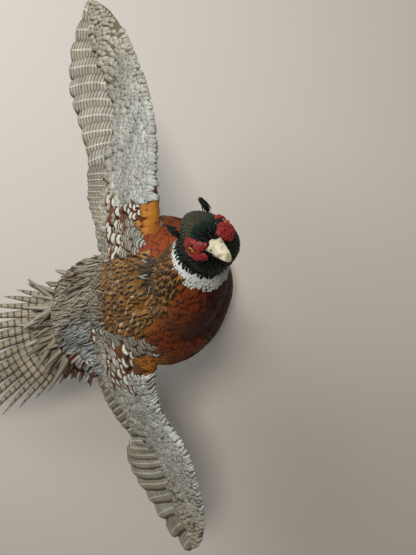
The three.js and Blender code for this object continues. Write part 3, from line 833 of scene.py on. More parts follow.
class VaneNodes:
    """The places on a vane that its markings are drawn by, and their colours."""

    def __init__(self, tree, spacing):
        self.tree, self.spacing = tree, spacing
        plumage = bpy.context.scene.pheasant_plumage
        self.black, self.cream = rgba(plumage.mark_black), rgba(plumage.spot_cream)
        vane = add(tree, "ShaderNodeSeparateXYZ", {0: add(tree, "ShaderNodeUVMap", uv_map="Vane")})
        cloth = add(tree, "ShaderNodeSeparateXYZ", {0: add(tree, "ShaderNodeUVMap", uv_map="Cloth")})
        self.v = vane.outputs["Y"]
        u = add(tree, "ShaderNodeMath", {0: vane.outputs["X"], 1: 2.0, 2: -1.0}, operation="MULTIPLY_ADD")
        self.edge = add(tree, "ShaderNodeMath", {0: u}, operation="ABSOLUTE")
        self.cm_across, self.cm_along = cloth.outputs["X"], cloth.outputs["Y"]
        self.place = add(tree, "ShaderNodeTexCoord").outputs["Object"]
        self.ground = add(tree, "ShaderNodeAttribute", attribute_name="ground").outputs["Color"]
        self.mark = add(tree, "ShaderNodeAttribute", attribute_name="mark").outputs["Color"]
        rough = add(tree, "ShaderNodeTexNoise", {"Vector": self.place, "Scale": 260.0, "Detail": 2.0})
        self.ragged = add(tree, "ShaderNodeMath", {0: rough, 1: 0.5}, operation="SUBTRACT")
        # Places along and across the vane with a frayed edge, so that no mark is cut too clean.
        self.soft_v, self.soft_edge = self.frayed(self.v, 0.22), self.frayed(self.edge, 0.45)

    def frayed(self, value, amount):
        return add(self.tree, "ShaderNodeMath", {0: self.ragged, 1: amount, 2: value},
                   operation="MULTIPLY_ADD")

    def oval(self, at_v, half_u, half_v):
        """Distance from the middle of an oval on the shaft, one at its rim."""
        a = add(self.tree, "ShaderNodeMath", {0: self.soft_edge, 1: half_u}, operation="DIVIDE")
        shift = add(self.tree, "ShaderNodeMath", {0: self.soft_v, 1: at_v}, operation="SUBTRACT")
        b = add(self.tree, "ShaderNodeMath", {0: shift, 1: half_v}, operation="DIVIDE")
        pair = add(self.tree, "ShaderNodeCombineXYZ", {"X": a, "Y": b})
        return add(self.tree, "ShaderNodeVectorMath", {0: pair}, operation="LENGTH").outputs["Value"]

    def crescent(self, low, high, spread):
        """Mask of a band bent round the tip of a vane, which fades out at the sides."""
        square = add(self.tree, "ShaderNodeMath", {0: self.edge, 1: self.edge}, operation="MULTIPLY")
        bent = add(self.tree, "ShaderNodeMath", {0: square, 1: 0.30, 2: self.v}, operation="MULTIPLY_ADD")
        rise, fall = (low - 0.03, low + 0.03), (high - 0.03, high + 0.03)
        inside = band(self.tree, self.frayed(bent, 0.10), rise, fall)
        sides = band(self.tree, self.edge, fall=(spread - 0.12, spread + 0.12))
        return add(self.tree, "ShaderNodeMath", {0: inside, 1: sides}, operation="MULTIPLY")


def gold_marks(w):
    """Golden feather with a black wedge at its tip, and a pale fringe on some."""
    tree = w.tree
    pale = add(tree, "ShaderNodeTexNoise", {"Vector": w.place, "Scale": 70.0, "Detail": 0.0})
    fringe, tip = band(tree, w.soft_edge, (0.5, 0.8)), band(tree, w.soft_v, (0.6, 0.85))
    tint = paint(tree, w.ground, w.cream, fringe, tip, band(tree, pale, (0.5, 0.62)), 0.9)
    tint = paint(tree, tint, w.black, band(tree, w.soft_v, fall=(0.55, 0.8)), 0.45)
    return paint(tree, tint, w.mark, band(tree, w.oval(0.80, 0.25, 0.17), fall=(0.8, 1.1)))


def hackle_marks(w):
    """Narrow golden hackle with a black heart."""
    heart, tip = band(w.tree, w.soft_edge, fall=(0.25, 0.45)), band(w.tree, w.soft_v, (0.55, 0.7))
    return paint(w.tree, w.ground, w.mark, heart, tip)


def spot_marks(w):
    """Chestnut feather with a pale crescent inside its tip, lined with black."""
    tree = w.tree
    tint = paint(tree, w.ground, w.black, band(tree, w.soft_v, fall=(0.4, 0.6)), 0.35)
    tint = paint(tree, tint, w.black, w.crescent(0.60, 0.96, 0.72), 0.5)
    return paint(tree, tint, w.mark, w.crescent(0.68, 0.90, 0.58))


def ringed_marks(w):
    """Grey brown feather with fine black and pale crescents one inside the other."""
    tree = w.tree
    tint = paint(tree, w.ground, w.black, w.crescent(0.30, 0.96, 0.95), 0.55)
    for low in (0.38, 0.56, 0.74):
        tint = paint(tree, tint, w.cream, w.crescent(low, low + 0.08, 0.7), 0.62)
    return paint(tree, tint, w.cream, w.crescent(0.88, 0.95, 0.8), 0.45)


def edged_marks(w):
    """Copper feather with a small black dot at its tip and a slightly darker edge."""
    tree = w.tree
    edge, tip = band(tree, w.soft_edge, (0.6, 1.0)), band(tree, w.v, (0.5, 0.8))
    dark = paint(tree, w.ground, w.mark, edge, tip, 0.12)
    return paint(tree, dark, w.mark, band(tree, w.oval(0.90, 0.22, 0.07), fall=(0.7, 1.2)), 0.9)


def vermiculated_marks(w):
    """Pale feather crossed by fine wavy lines."""
    tree = w.tree
    bent = add(tree, "ShaderNodeMath", {0: w.edge, 1: -0.3, 2: w.cm_along}, operation="MULTIPLY_ADD")
    wave = stripes(tree, w.frayed(bent, 0.7), SCRIBBLE_PERIOD)
    patchy = add(tree, "ShaderNodeTexNoise", {"Vector": w.place, "Scale": 70.0, "Detail": 3.0})
    lines, patches = band(tree, wave, (-0.1, 0.9)), band(tree, patchy, (0.38, 0.6))
    tint = paint(tree, w.ground, w.mark, lines, patches, 0.7)
    tint = paint(tree, tint, w.mark, band(tree, w.soft_v, (0.72, 0.86), (0.9, 1.0)), 0.5)
    return paint(tree, tint, w.cream, band(tree, w.edge, fall=(0.05, 0.12)), 0.35)


def barred_marks(w):
    """Brown flight feather with irregular buff bars, a pale shaft and a pale edge."""
    tree = w.tree
    slope = add(tree, "ShaderNodeMath", {0: w.edge, 1: 0.35, 2: w.cm_along}, operation="MULTIPLY_ADD")
    broken = add(tree, "ShaderNodeTexNoise", {"Vector": w.place, "Scale": 120.0, "Detail": 3.0})
    slope = add(tree, "ShaderNodeMath", {0: broken, 1: 0.5, 2: slope}, operation="MULTIPLY_ADD")
    wave = stripes(tree, slope, w.spacing)
    tint = paint(tree, w.ground, w.mark, band(tree, wave, (-0.2, 0.5)), 0.8)
    tint = paint(tree, tint, w.cream, band(tree, w.edge, (0.9, 1.0)), 0.5)
    return paint(tree, tint, w.cream, band(tree, w.edge, fall=(0.04, 0.09)), 0.85)


def tail_marks(w):
    """Olive tail feather with narrow dark bars, paler between them, and a rusty fringe."""
    tree = w.tree
    broken = add(tree, "ShaderNodeTexNoise", {"Vector": w.place, "Scale": 90.0, "Detail": 2.0})
    slope = add(tree, "ShaderNodeMath", {0: broken, 1: 0.5, 2: w.cm_along}, operation="MULTIPLY_ADD")
    slope = add(tree, "ShaderNodeMath", {0: w.edge, 1: -0.3, 2: slope}, operation="MULTIPLY_ADD")
    bars = band(tree, stripes(tree, slope, w.spacing), (0.45, 0.85))
    tint = paint(tree, w.ground, w.mark, bars, band(tree, w.edge, fall=(0.7, 0.95)), 0.85)
    tint = paint(tree, tint, w.mark, band(tree, w.soft_edge, (0.75, 1.0)), 0.4)
    return paint(tree, tint, w.cream, band(tree, w.edge, fall=(0.06, 0.12)), 0.4)


def streaked_marks(w):
    """Loose feather with separate barbs, darker between them and toward its root."""
    tree = w.tree
    stretch = add(tree, "ShaderNodeCombineXYZ", {
        "X": add(tree, "ShaderNodeMath", {0: w.cm_across, 1: 18.0}, operation="MULTIPLY"),
        "Y": w.cm_along,
        "Z": add(tree, "ShaderNodeMath", {0: w.ragged, 1: 2.0}, operation="MULTIPLY")})
    streak = add(tree, "ShaderNodeTexNoise", {"Vector": stretch, "Scale": 1.0, "Detail": 2.0})
    tint = paint(tree, w.ground, w.mark, band(tree, streak, (0.4, 0.66)), 0.5)
    return paint(tree, tint, w.mark, band(tree, w.soft_v, fall=(0.1, 0.5)), 0.4)


def feather_material(name, marks, roughness=0.6, specular=0.35, gloss=None, spacing=None):
    """Feather keratin: silky and matt, with barbs that catch the light in fine lines across the vane."""
    material, tree, shader = new_material(name, Roughness=roughness, Specular_IOR_Level=specular)
    w = VaneNodes(tree, spacing)
    tint = marks(w)
    patchy = add(tree, "ShaderNodeTexNoise", {"Vector": w.place, "Scale": 38.0, "Detail": 3.0})
    shade = add(tree, "ShaderNodeMapRange", {"Value": patchy, "From Min": 0.3, "From Max": 0.7,
                                             "To Min": 0.72, "To Max": 1.18})
    tint = add(tree, "ShaderNodeVectorMath", {0: tint, "Scale": shade}, operation="SCALE")
    if gloss is not None:
        facing = add(tree, "ShaderNodeLayerWeight", {"Blend": 0.35}).outputs["Facing"]
        tint = paint(tree, tint, rgba(gloss), facing, 0.7)
    # Barbs leave the shaft at about 45 degrees.
    barb = add(tree, "ShaderNodeMath", {0: w.cm_across}, operation="ABSOLUTE")
    barb = add(tree, "ShaderNodeMath", {0: w.cm_along, 1: barb}, operation="SUBTRACT")
    dress(tree, shader, tint, stripes(tree, barb, BARB_PERIOD), 0.35, 0.25)
    return material


def plain_material(name, base, over, scale, spread=(0.35, 0.65), bump=0.0, **surface):
    """A finish of two colours in soft patches, with a fine relief where it has one."""
    material, tree, shader = new_material(name, **surface)
    place = add(tree, "ShaderNodeTexCoord").outputs["Object"]
    noise = add(tree, "ShaderNodeTexNoise", {"Vector": place, "Scale": scale, "Detail": 4.0})
    tint = paint(tree, rgba(base), rgba(over), band(tree, noise, spread))
    dress(tree, shader, tint, noise if bump else None, 0.5, bump)
    return material


# ---------- geometry nodes ----------
def node_group(name, **inputs):
    """A geometry-nodes group with named inputs, and the sockets they come from."""
    tree = bpy.data.node_groups.new(name, "GeometryNodeTree")
    tree.is_modifier = True
    tree.interface.new_socket(name="Geometry", in_out="INPUT", socket_type="NodeSocketGeometry")
    for label, kind in inputs.items():
        tree.interface.new_socket(name=label, in_out="INPUT", socket_type="NodeSocket" + kind)
    tree.interface.new_socket(name="Geometry", in_out="OUTPUT", socket_type="NodeSocketGeometry")
    return tree, tree.nodes.new("NodeGroupInput").outputs


def group_result(tree, made, material):
    """Gives what a group makes its one material and returns it from the group."""
    painted = add(tree, "GeometryNodeSetMaterial", {"Geometry": made, "Material": material})
    add(tree, "NodeGroupOutput", {"Geometry": painted})
    return tree


def run_nodes(made, tree, name, values):
    """Runs a geometry-nodes group on a piece and returns its plain mesh object."""
    modifier = made.modifiers.new("Build", "NODES")
    modifier.node_group = tree
    for item in tree.interface.items_tree:
        if item.in_out == "INPUT" and item.name in values:
            modifier[item.identifier] = values[item.name]
    return applied(made, name)


# ---------- tracts of the body ----------
# The patch of loose brown down between the mantle and the nape.
DOWN_AT = (78.0, 27.0, 63.0)
DOWN_REACH = (21.0, 17.0, 14.0)


def collar_half(where):
    """Half width of the white collar, narrow at the nape and broad at the breast."""
    return np.interp(where.y, (-20, 8, 30, 52, 75), (7.5, 7.0, 5.0, 2.0, 2.5))


def tract_of(where, collared=True):
    """Which tract each place on the skin belongs to; without the collar, what lies under its edge.

    Borders are places in millimetres and degrees round the middle line from the back. A later tract takes
    its places from the ones before it.
    """
    x, out, roll, steep, up = where.x, where.out, where.roll, np.abs(where.roll), where.n[:, 2]
    by_side = lambda left, right: np.where(where.y > 0, left, right)
    height = where.z - (SHOULDER_UP - out * by_side(0.105, 0.28))
    tract = np.full(len(where), "belly", dtype="<U10")
    tract[(steep < 122) & (x > -60)] = "flank"
    tract[(x > 22) & (steep > 43)] = "breast"
    tract[(x > 8) & (steep > 40) & (steep < 78)] = "shoulder"
    tract[(x <= -24) & (steep < 66)] = "rump"
    tract[(x <= -60) & (up > -0.15)] = "rump"
    tract[(x > -24 - 0.35 * np.minimum(steep, 60)) & (roll > -44) & (roll < 56)] = "mantle"
    tract[(where.collar > -44) & (roll > -46) & (roll < 78) & (x > 50)] = "nape"
    tract[(x < -106) & (steep > 90) & (up < 0)] = "vent"
    tract[(out > 8) & (height > -17) & (x > by_side(-84, -76))] = "none"
    # The golden tuft where the front edge of the wing leaves the shoulder.
    tract[(x >= 40) & (out > -16) & (out < 24) & (height > -30) & (steep > 38)] = "shoulder"
    scapular = (out > -14) & (out < by_side(50, 57)) & (height > -11) & (up > np.where(x > 15, -0.55, 0.25))
    scapular &= (x > by_side(-84, -104)) & (x < 60)
    inner = scapular & by_side((x > 24) & (out < 22), (x > -36) & (out < -2))
    tract[scapular] = "scapular"
    tract[inner] = "ringed"
    tract[scapular & ~inner & (x > 14)] = "cap"
    front = (x > by_side(45, 20)) & (out > 4) & (out < by_side(40, 34))
    tract[front & (height > -30)] = "shoulder"
    if not collared:
        return tract
    loose = np.linalg.norm((where.p - DOWN_AT) / DOWN_REACH, axis=1) < 1
    tract[loose & ((tract == "mantle") | (tract == "nape"))] = "down"
    half = collar_half(where)
    tract[(where.collar > -half + 1) & (x > 70)] = "collar"
    tract[(where.collar > half) & (x > 70)] = "head"
    return tract


def head_colours(where, plumage):
    """Olive crown, black face and green gloss between them."""
    f, _, u = where.head.T
    crown = ease((u - 8.5) / 3.5) * ease((14.5 - f) / 3)
    green = ease((u - 3) / 6) * (1 - crown) * ease((19 - f) / 4)
    black, gloss, olive = dyes(plumage, "head_black", "head_green", "crown_olive")
    return mix(mix(black, gloss, green[:, None]), olive, crown[:, None])


# Where the shoulders are most golden, and where rusty feathers show between those of the rump.
GOLDEN_TUFTS = np.array([(58, 84, 27), (30, -88, 22), (44, -66, 28)])
RUSTY_SPOTS = np.array([(-117, 32, 14), (-134, -99, 19), (-112, -105, 14), (-128, -78, 16)])


def tract_colours(tract, where, plumage, rng):
    """Ground and mark colour of each feather of a tract."""
    n = len(where)
    take = lambda name: np.broadcast_to(np.array(getattr(plumage, name)), (n, 3))
    black = take("mark_black")
    chance = rng.random((n, 1))
    side = np.abs(where.roll)[:, None]
    if tract == "down":
        pale = rng.random((n, 1)) > 0.9
        return mix(take("covert_brown") * mix(0.35, 0.75, chance), take("covert_pale") * 0.8, pale), black
    if tract in ("mantle", "nape"):
        gold = ("mantle_gold", "mantle_rust")
        first, second = gold if tract == "mantle" else ("nape_copper", "mantle_gold")
        return mix(take(first), take(second), chance * 0.8) * mix(0.75, 1.3, rng.random((n, 1))), black
    if tract == "shoulder":
        away = where.from_nearest(GOLDEN_TUFTS)
        warm = np.maximum(ease((34 - away) / 18), 0.3 * ease((66 - side) / 24))
        return mix(take("breast_copper"), take("shoulder_orange"), warm * (0.7 + 0.3 * chance)), black
    if tract == "breast":
        low = ease((side - 60) / 50)
        return mix(take("breast_copper"), take("breast_maroon"), low * (0.7 + 0.3 * chance)), black
    if tract == "flank":
        low = ease((side - 84) / 34)
        return mix(take("flank_gold"), take("breast_copper"), low * 0.8 + 0.2 * chance), black
    if tract in ("belly", "vent"):
        rusty = 0.15 if tract == "belly" else 0.5
        return mix(take("belly_brown"), take("mantle_rust"), chance * rusty), black
    if tract == "rump":
        blue = ease((-where.y[:, None] - 25) / 25) * ease((where.x[:, None] + 130) / 20)
        cool = mix(take("rump_sage"), take("tail_olive"), chance)
        cool = mix(cool, take("rump_blue"), blue * (0.3 + 0.7 * chance))
        away = where.from_nearest(RUSTY_SPOTS)
        rusty = ease((21 - away) / 10) * (chance > 0.3)
        shade = mix(0.6, 1.25, rng.random((n, 1)))
        return mix(cool, take("rump_rust"), rusty) * shade, mix(black, take("rump_sage"), 0.5)
    if tract == "collar":
        return mix(take("ring_white"), take("covert_pale"), chance * 0.3), take("covert_pale")
    if tract == "head":
        return head_colours(where, plumage), black
    chestnut = mix(take("scapular_chestnut"), take("mantle_rust"), chance * 0.7)
    if tract == "ringed":
        return mix(take("covert_brown"), chestnut, chance * 0.6), black
    return chestnut, np.where(rng.random((n, 1)) < 0.8, take("spot_cream"), chestnut)


class Tract(NamedTuple):
    """Sizes in millimetres and finish of the feathers of one tract."""

    gap: float  # between the roots
    reach: float  # length
    half: float  # half width
    rise: float  # of the tip above the skin
    cut: str
    slot: str
    material: str
    marks: object
    roughness: float = 0.6
    specular: float = 0.35
    columns: int = 5  # of points across one face of a vane
    root: float = -1.2  # height of the root above the skin
    wander: float = 0.10  # how much the ways of the feathers differ
    along: tuple = ((0, 1), (1, 1))  # places ahead, and the size at each


# A tract's place in this table seeds its random draws.
TRACTS = {
    "mantle": Tract(6.0, 29, 6.6, 2.6, "leaf", "breast_feathers", "mantle_feather", gold_marks,
                    wander=0.14, along=((-40, 60, 100), (1.15, 0.95, 0.7))),
    "down": Tract(3.0, 17, 1.7, 3.4, "hair", "breast_feathers", "loose_down", streaked_marks, 0.8, 0.15, 3,
                  wander=0.3),
    "nape": Tract(3.6, 14, 3.2, 2.6, "lance", "breast_feathers", "nape_hackle", hackle_marks, columns=3),
    "shoulder": Tract(5.0, 22, 5.8, 1.2, "leaf", "breast_feathers", "shoulder_feather", edged_marks,
                      0.65, 0.22, root=-0.6, wander=0.06),
    "breast": Tract(5.4, 27, 7.0, 0.9, "leaf", "breast_feathers", "breast_feather", edged_marks,
                    0.7, 0.18, root=-0.7, wander=0.05),
    "flank": Tract(9.0, 40, 11.0, 4.0, "round", "breast_feathers", "flank_feather", gold_marks,
                   along=((-110, 0, 40), (1.15, 1.0, 0.75))),
    "belly": Tract(7.0, 30, 6.5, 4.0, "hair", "thigh_feathers", "belly_feather", streaked_marks,
                   0.7, 0.25, 3),
    "vent": Tract(7.5, 44, 6.0, 5.0, "hair", "thigh_feathers", "vent_feather", streaked_marks,
                  0.7, 0.25, 3),
    "rump": Tract(3.3, 31, 2.5, 5.0, "hair", "breast_feathers", "rump_feather", streaked_marks,
                  0.8, 0.12, 3, wander=0.26, along=((-170, -110, -30), (1.7, 1.35, 0.6))),
    "collar": Tract(1.7, 8.0, 2.6, 0.2, "round", "head_feathers", "collar_feather", streaked_marks,
                    0.7, 0.3, 3, root=-0.3, wander=0.02),
    "head": Tract(1.7, 4.4, 1.3, 0.6, "lance", "head_feathers", "head_velvet", streaked_marks, 0.55, 0.2, 3,
                  root=-0.25),
    "scapular": Tract(8.2, 27, 9.0, 3.8, "round", "wing_coverts", "scapular_feather", spot_marks),
    "ringed": Tract(7.0, 24, 7.6, 3.6, "round", "wing_coverts", "inner_scapular_feather", ringed_marks),
    "cap": Tract(5.6, 15, 5.6, 2.2, "round", "wing_coverts", "front_scapular_feather", spot_marks,
                 root=-0.4, along=((14, 50), (1.3, 0.85))),
}
HEAD_STEPS = np.array((0, 0.45, 0.8, 1.0))
# Random places tried for each square of a tract's gap, before they are thinned out.
TRIES = 3.5


def place_tract(tract, places, spread, tree, plumage):
    """One mesh of all the feathers of a tract."""
    sizes = TRACTS[tract]
    rng = np.random.default_rng(SEED + list(TRACTS).index(tract))
    where = places.only(rng.random(len(places)) < TRIES * spread / sizes.gap ** 2)
    if tract == "flank":
        where = where.only((where.z < 5) | (where.x > 15))
    if tract in ("rump", "vent"):
        # None grow on the closed end of the body, where no way leads back along the skin.
        where = where.only(np.sum(where.n * where.ahead, 1) > -0.55)
    if tract == "head":
        f, e, u = where.head.T
        bare = np.zeros(len(where), bool)
        for side, eye in EYES.items():
            above, ahead = u - eye["at"][2], f - eye["at"][0]
            reach = wattle_reach(side, np.degrees(np.arctan2(above, ahead)) % 360)
            bare |= (np.hypot(above, ahead) < np.maximum(reach - 0.8, 3.9)) & (e * side > 4)
        where = where.only(~bare & (f < FACE_END))
    where = where.only(thin_out(where.p, sizes.gap, rng))
    n = len(where)
    way = -where.ahead
    outward = np.sign(where.y)
    if tract in ("flank", "breast", "shoulder"):
        way = way - (0, 0, 0.12)
    if tract in ("scapular", "ringed", "cap", "shoulder"):
        # Those rooted on the front edge of the wing turn up over it.
        on_wing = 1.0 * (where.out > 2) if tract == "shoulder" else np.ones(n)
        over = 1.3 * ease((where.n[:, 0] - 0.2) / 0.5)
        way = way + on_wing[:, None] * np.stack([np.zeros(n), outward * 0.22, over], 1)
    if tract == "rump":
        # The long hair-like ones at its sides hang outwards.
        aside = outward * ease((np.abs(where.y) - 40) / 50) * ease((-95 - where.x) / 20) * 0.7
        way = way + np.stack([np.zeros(n), aside, np.zeros(n)], 1)
    way = way + sizes.wander * rng.normal(0, 1, (n, 3))
    way = unit(way - where.n * np.sum(way * where.n, 1, keepdims=True))
    size = rng.uniform(0.85, 1.15, n)
    uneven = rng.uniform(0.8, 1.2, n) if tract == "rump" else 1
    size *= np.interp(where.x, *sizes.along) * uneven
    steps = HEAD_STEPS if tract == "head" else BODY_STEPS
    lift = sizes.rise * rng.uniform(0.75, 1.2, n) - sizes.root * 0.5
    centre, up = lay_on_skin(tree, where.p, where.n, way, sizes.reach * size, sizes.root, lift, steps)
    half = sizes.half * size[:, None] * cut_width(sizes.cut, steps)[None]
    ragged = rng.uniform(0.88, 1.1, (2, n, len(steps)))
    ground, mark = tract_colours(tract, where, plumage, rng)
    back = (where.p - where.p.mean(0)) @ unit(where.ahead.mean(0))
    root_uv = fit_unit(np.column_stack([where.roll / 90, back / 60]))
    batch = Feathers(f"{tract}_feathers", sizes.columns)
    batch.add(centre, up, half * ragged[0], half * ragged[1], steps, 0.22, 0.1, ground, mark, root_uv)
    return batch.build()


# ---------- wing feathers ----------
def wing_row(wing, chord, gap, start, end, rng):
    """Shares of the feathers of one row, evenly spaced along the wing, and the length of a whole share."""
    share = np.linspace(start, end, 200)
    line = wing.surface(share, np.full(200, chord), 1)
    run = np.concatenate([[0], np.cumsum(np.linalg.norm(np.diff(line, axis=0), axis=1))])
    count = max(2, int(run[-1] / gap))
    at = (np.arange(count) + rng.uniform(0.3, 0.7, count)) / count * run[-1]
    return np.interp(at, run, share), run[-1] / (end - start)


# How deep the coverts' roots lie in the wing, and the shares at which the rows begin under the scapulars.
COVERT_SINK = 1.4
COVERT_START = {1: 0.15, -1: 0.19}


class Row(NamedTuple):
    """One row of coverts: places as shares of the wing and sizes in millimetres."""

    chord: float  # share of the way from the front edge
    reach: float  # length
    half: float  # half width
    gap: float  # between the roots
    start: float  # share of the wing
    end: float  # share of the wing
    rise: float  # of the tips above the wing
    slant: float  # towards the wing's tip, in radians
    tone: float  # from pale to buff


def covert_row(batch, wing, row, face, rng, plumage):
    """Adds one row of coverts."""
    share, span = wing_row(wing, row.chord, row.gap, row.start, row.end, rng)
    n = len(share)
    steps = BODY_STEPS
    size = rng.uniform(0.8, 1.2, n)
    fade = np.interp(share, (wing.wrist, 1), (1, 0.6))
    reach = row.reach * size * fade
    root = np.maximum(row.chord + rng.normal(0, 0.010, n), 0)
    lean = row.slant + rng.normal(0, 0.14, n)
    chords = root[:, None] + steps[None] * (reach * np.cos(lean) / wing.chord_length(share))[:, None]
    shares = np.clip(share[:, None] + steps[None] * (reach * np.sin(lean) / span)[:, None], 0, 1)
    centre = wing.surface(shares.ravel(), chords.ravel(), face).reshape(n, len(steps), 3)
    height = -COVERT_SINK + (row.rise + COVERT_SINK) * steps ** 1.2
    centre = centre + face * wing.up * (height[None] * rng.uniform(0.8, 1.2, (n, 1)))[..., None]
    up = np.broadcast_to(wing.up * face, centre.shape)
    pale, buff, brown, dark, black = dyes(
        plumage, "covert_pale", "vane_buff", "covert_brown", "vane_brown", "mark_black")
    chance = rng.random((n, 1))
    outer = 0.5 * ease((share - wing.wrist) / 0.4)[:, None]
    ground = mix(pale, buff, np.clip(row.tone + 0.4 * (chance - 0.5) + outer, 0, 1))
    ground = ground * mix(1.0, 0.72, rng.random((n, 1)) ** 2)
    mark = mix(brown, dark, rng.random((n, 1)))
    mark = np.where(rng.random((n, 1)) > 0.94, black * 2, mark)
    width = row.half * (size * fade)[:, None] * cut_width("round", steps)[None]
    uv = np.column_stack([share, np.full(n, row.chord)])
    root_uv = in_unit(uv * (1, 0.5)) + (0, 0.25 * face + 0.25)
    left = width * rng.uniform(0.85, 1.15, (n, 1))
    batch.add(centre, up, left, width, steps, 0.2, 0.28, ground, mark, root_uv)


def upper_rows(wing):
    """Rows of upper coverts from the front edge back, then those of the arm and of the hand."""
    wrist, start = wing.wrist, COVERT_START[wing.side]
    rows = [Row(0.036 * i, 10.0 + 1.0 * i, 4.2 + 0.27 * i, 3.9 + 0.2 * i, start, wrist + 0.34 - 0.024 * i,
                0.8, 0.35, 0.12 + 0.02 * i) for i in range(11)]
    rows.append(Row(0.38, 27, 7.2, 8.0, start, wrist + 0.06, 1.0, 0.28, 0.4))
    rows.append(Row(0.45, 34, 8.0, 8.8, start, wrist + 0.04, 1.0, 0.24, 0.55))
    rows += [Row(0.44 + 0.1 * i, 27, 8.0, 8.5, 0.0, wrist * (0.85 - 0.16 * i), 1.4, 0.16, 0.7)
             for i in range(4)]
    rows += [Row(0.26 - 0.05 * i, 27 - 2.6 * i, 6.0 - 0.4 * i, 7.2, wrist + 0.05 * i, 0.80 + 0.035 * i,
                 0.8, 0.62 + 0.08 * i, 0.35) for i in range(5)]
    return rows


def under_rows(wing):
    """Rows of under coverts, longer and further apart."""
    wrist = wing.wrist
    rows = [Row(0.02 + 0.085 * i, 24 + 3 * i, 9.0, 11.5, 0.03, wrist + 0.28 - 0.04 * i, 0.6, 0.2, 0.2)
            for i in range(4)]
    rows.append(Row(0.38, 40, 10.5, 12.0, 0.04, wrist + 0.02, 0.6, 0.15, 0.4))
    rows.append(Row(0.22, 30, 8.5, 11.0, wrist, 0.84, 0.5, 0.5, 0.4))
    rows.append(Row(0.08, 22, 7.0, 9.5, wrist, 0.92, 0.5, 0.6, 0.4))
    return rows


# Slope across the blades of flight and tail feathers.
BLADE_TIP = 0.10
FLIGHT_STEPS = np.array((0, 0.12, 0.25, 0.38, 0.5, 0.6, 0.69, 0.77, 0.84, 0.9, 0.94, 0.97, 0.99, 1.0))


def flight_paths(wing):
    """Shares and chords along every secondary and primary, the innermost first."""
    v = FLIGHT_STEPS[None]
    arm = ((np.arange(ARM_FEATHERS) + 0.5) / ARM_FEATHERS)[:, None]
    hand = ((np.arange(PRIMARIES) + 0.5) / PRIMARIES)[:, None]
    tip = arm * (wing.wrist + 0.03) - 0.01
    root = np.maximum(tip - 0.06, 0.005)
    arm_share = mix(root, tip, v ** 1.1)
    arm_chord = mix(0.38, 1.0, v) * np.ones_like(arm)
    # The last primaries end on the rounded tip, ever nearer to the front edge.
    tip = np.minimum(wing.wrist + 0.03 + (0.97 - wing.wrist) * hand * 1.1, 1.0)
    tip_chord = np.interp(hand, (0, 0.82, 1), (1, 1, 0.22))
    root = wing.wrist + (1 - wing.wrist) * (0.02 + 0.28 * hand)
    hand_share = mix(root, tip, v ** 0.95)
    hand_chord = mix(mix(0.36, 0.045, hand), tip_chord, v ** mix(1.0, 3.0, hand ** 1.5))
    return np.concatenate([arm_share, hand_share]), np.concatenate([arm_chord, hand_chord])


def flight_feathers(name, wing, plumage):
    """Secondaries and primaries of one wing, each laid over the next one out."""
    buff, pale, brown, dark = dyes(plumage, "vane_buff", "covert_pale", "covert_brown", "vane_brown")
    rng = np.random.default_rng(SEED + 50 + wing.side)
    v = FLIGHT_STEPS
    share, chord = flight_paths(wing)
    n = len(share)
    chord = chord * mix(1.0, rng.uniform(0.965, 1.0, (n, 1)), v[None])
    centre = wing.surface(share.ravel(), chord.ravel(), 0).reshape(n, len(v), 3)
    along = unit(np.gradient(centre, axis=1))
    step = np.gradient(centre, axis=0)
    gap = np.linalg.norm(step - along * np.sum(step * along, -1, keepdims=True), axis=-1)
    layer = 1.6 - 0.10 * np.arange(n)
    centre = centre + wing.up * (layer[:, None] * np.ones(len(v)))[..., None]
    up = np.broadcast_to(wing.up, centre.shape)
    # The leading vane lies over the next feather out, so each blade is tipped a little about its shaft.
    across = np.cross(along, up)
    up = unit(up - across * np.sign(np.sum(across * wing.outward, -1, keepdims=True)) * BLADE_TIP)
    point = np.sqrt(np.clip(1 - ((v - 0.86) / 0.14).clip(0) ** 2, 0.004, 1))
    width = np.clip(gap * 1.95, 9, 30) * (np.minimum(1, 0.4 + 1.6 * v) * point)[None]
    primary = (np.arange(n) >= ARM_FEATHERS)[:, None]
    outer, inner = width * np.where(primary, 0.36, 0.45), width * np.where(primary, 0.64, 0.55)
    fray = 1 + 0.06 * rng.normal(0, 1, (2, n, len(v)))
    on_left = np.sum(np.cross(along, up) * wing.outward, -1)[:, 5] > 0
    left = np.where(on_left[:, None], inner, outer) * fray[0]
    right = np.where(on_left[:, None], outer, inner) * fray[1]
    chance = rng.random((n, 1))
    ground = mix(mix(buff, pale, chance * 0.4), brown, np.where(primary, 0.1, 0.35 + 0.4 * chance))
    mark = mix(dark, brown, chance * 0.5)
    batch = Feathers(name, 5)
    batch.add(centre, up, left, right, v, 0.5, 0.10, ground, mark, *bake_strips(n))
    return batch.build()


# ---------- tail ----------
TAIL_STEPS = np.array((0, 0.2, 0.42, 0.64, 0.84, 0.95, 1.0))
TAIL_RINGS = np.array((0.02, 0.1, 0.2, 0.3, 0.4, 0.5, 0.6, 0.7, 0.78, 0.85, 0.9, 0.94, 0.97, 0.99, 1.0))


def tail_line(pair, side):
    """Centre line of one tail feather in the tail's frame."""
    start = side * TAIL_SPREAD[side] * (pair + 0.5)
    long = TAIL_LENGTHS[pair]
    at = np.array((0.0, 0.0, -0.55 * pair))
    points, before = [], 0.0
    for t in TAIL_STEPS:
        angle = math.radians(start - TAIL_BEND * t * (long / TAIL_LENGTHS[0]))
        at = at + np.array((-math.cos(angle), math.sin(angle), -0.07 * t)) * long * (t - before)
        points.append(at)
        before = t
    table = np.column_stack([TAIL_STEPS, points])
    return np.stack([table_value(table, column, TAIL_RINGS) for column in (1, 2, 3)], 1)


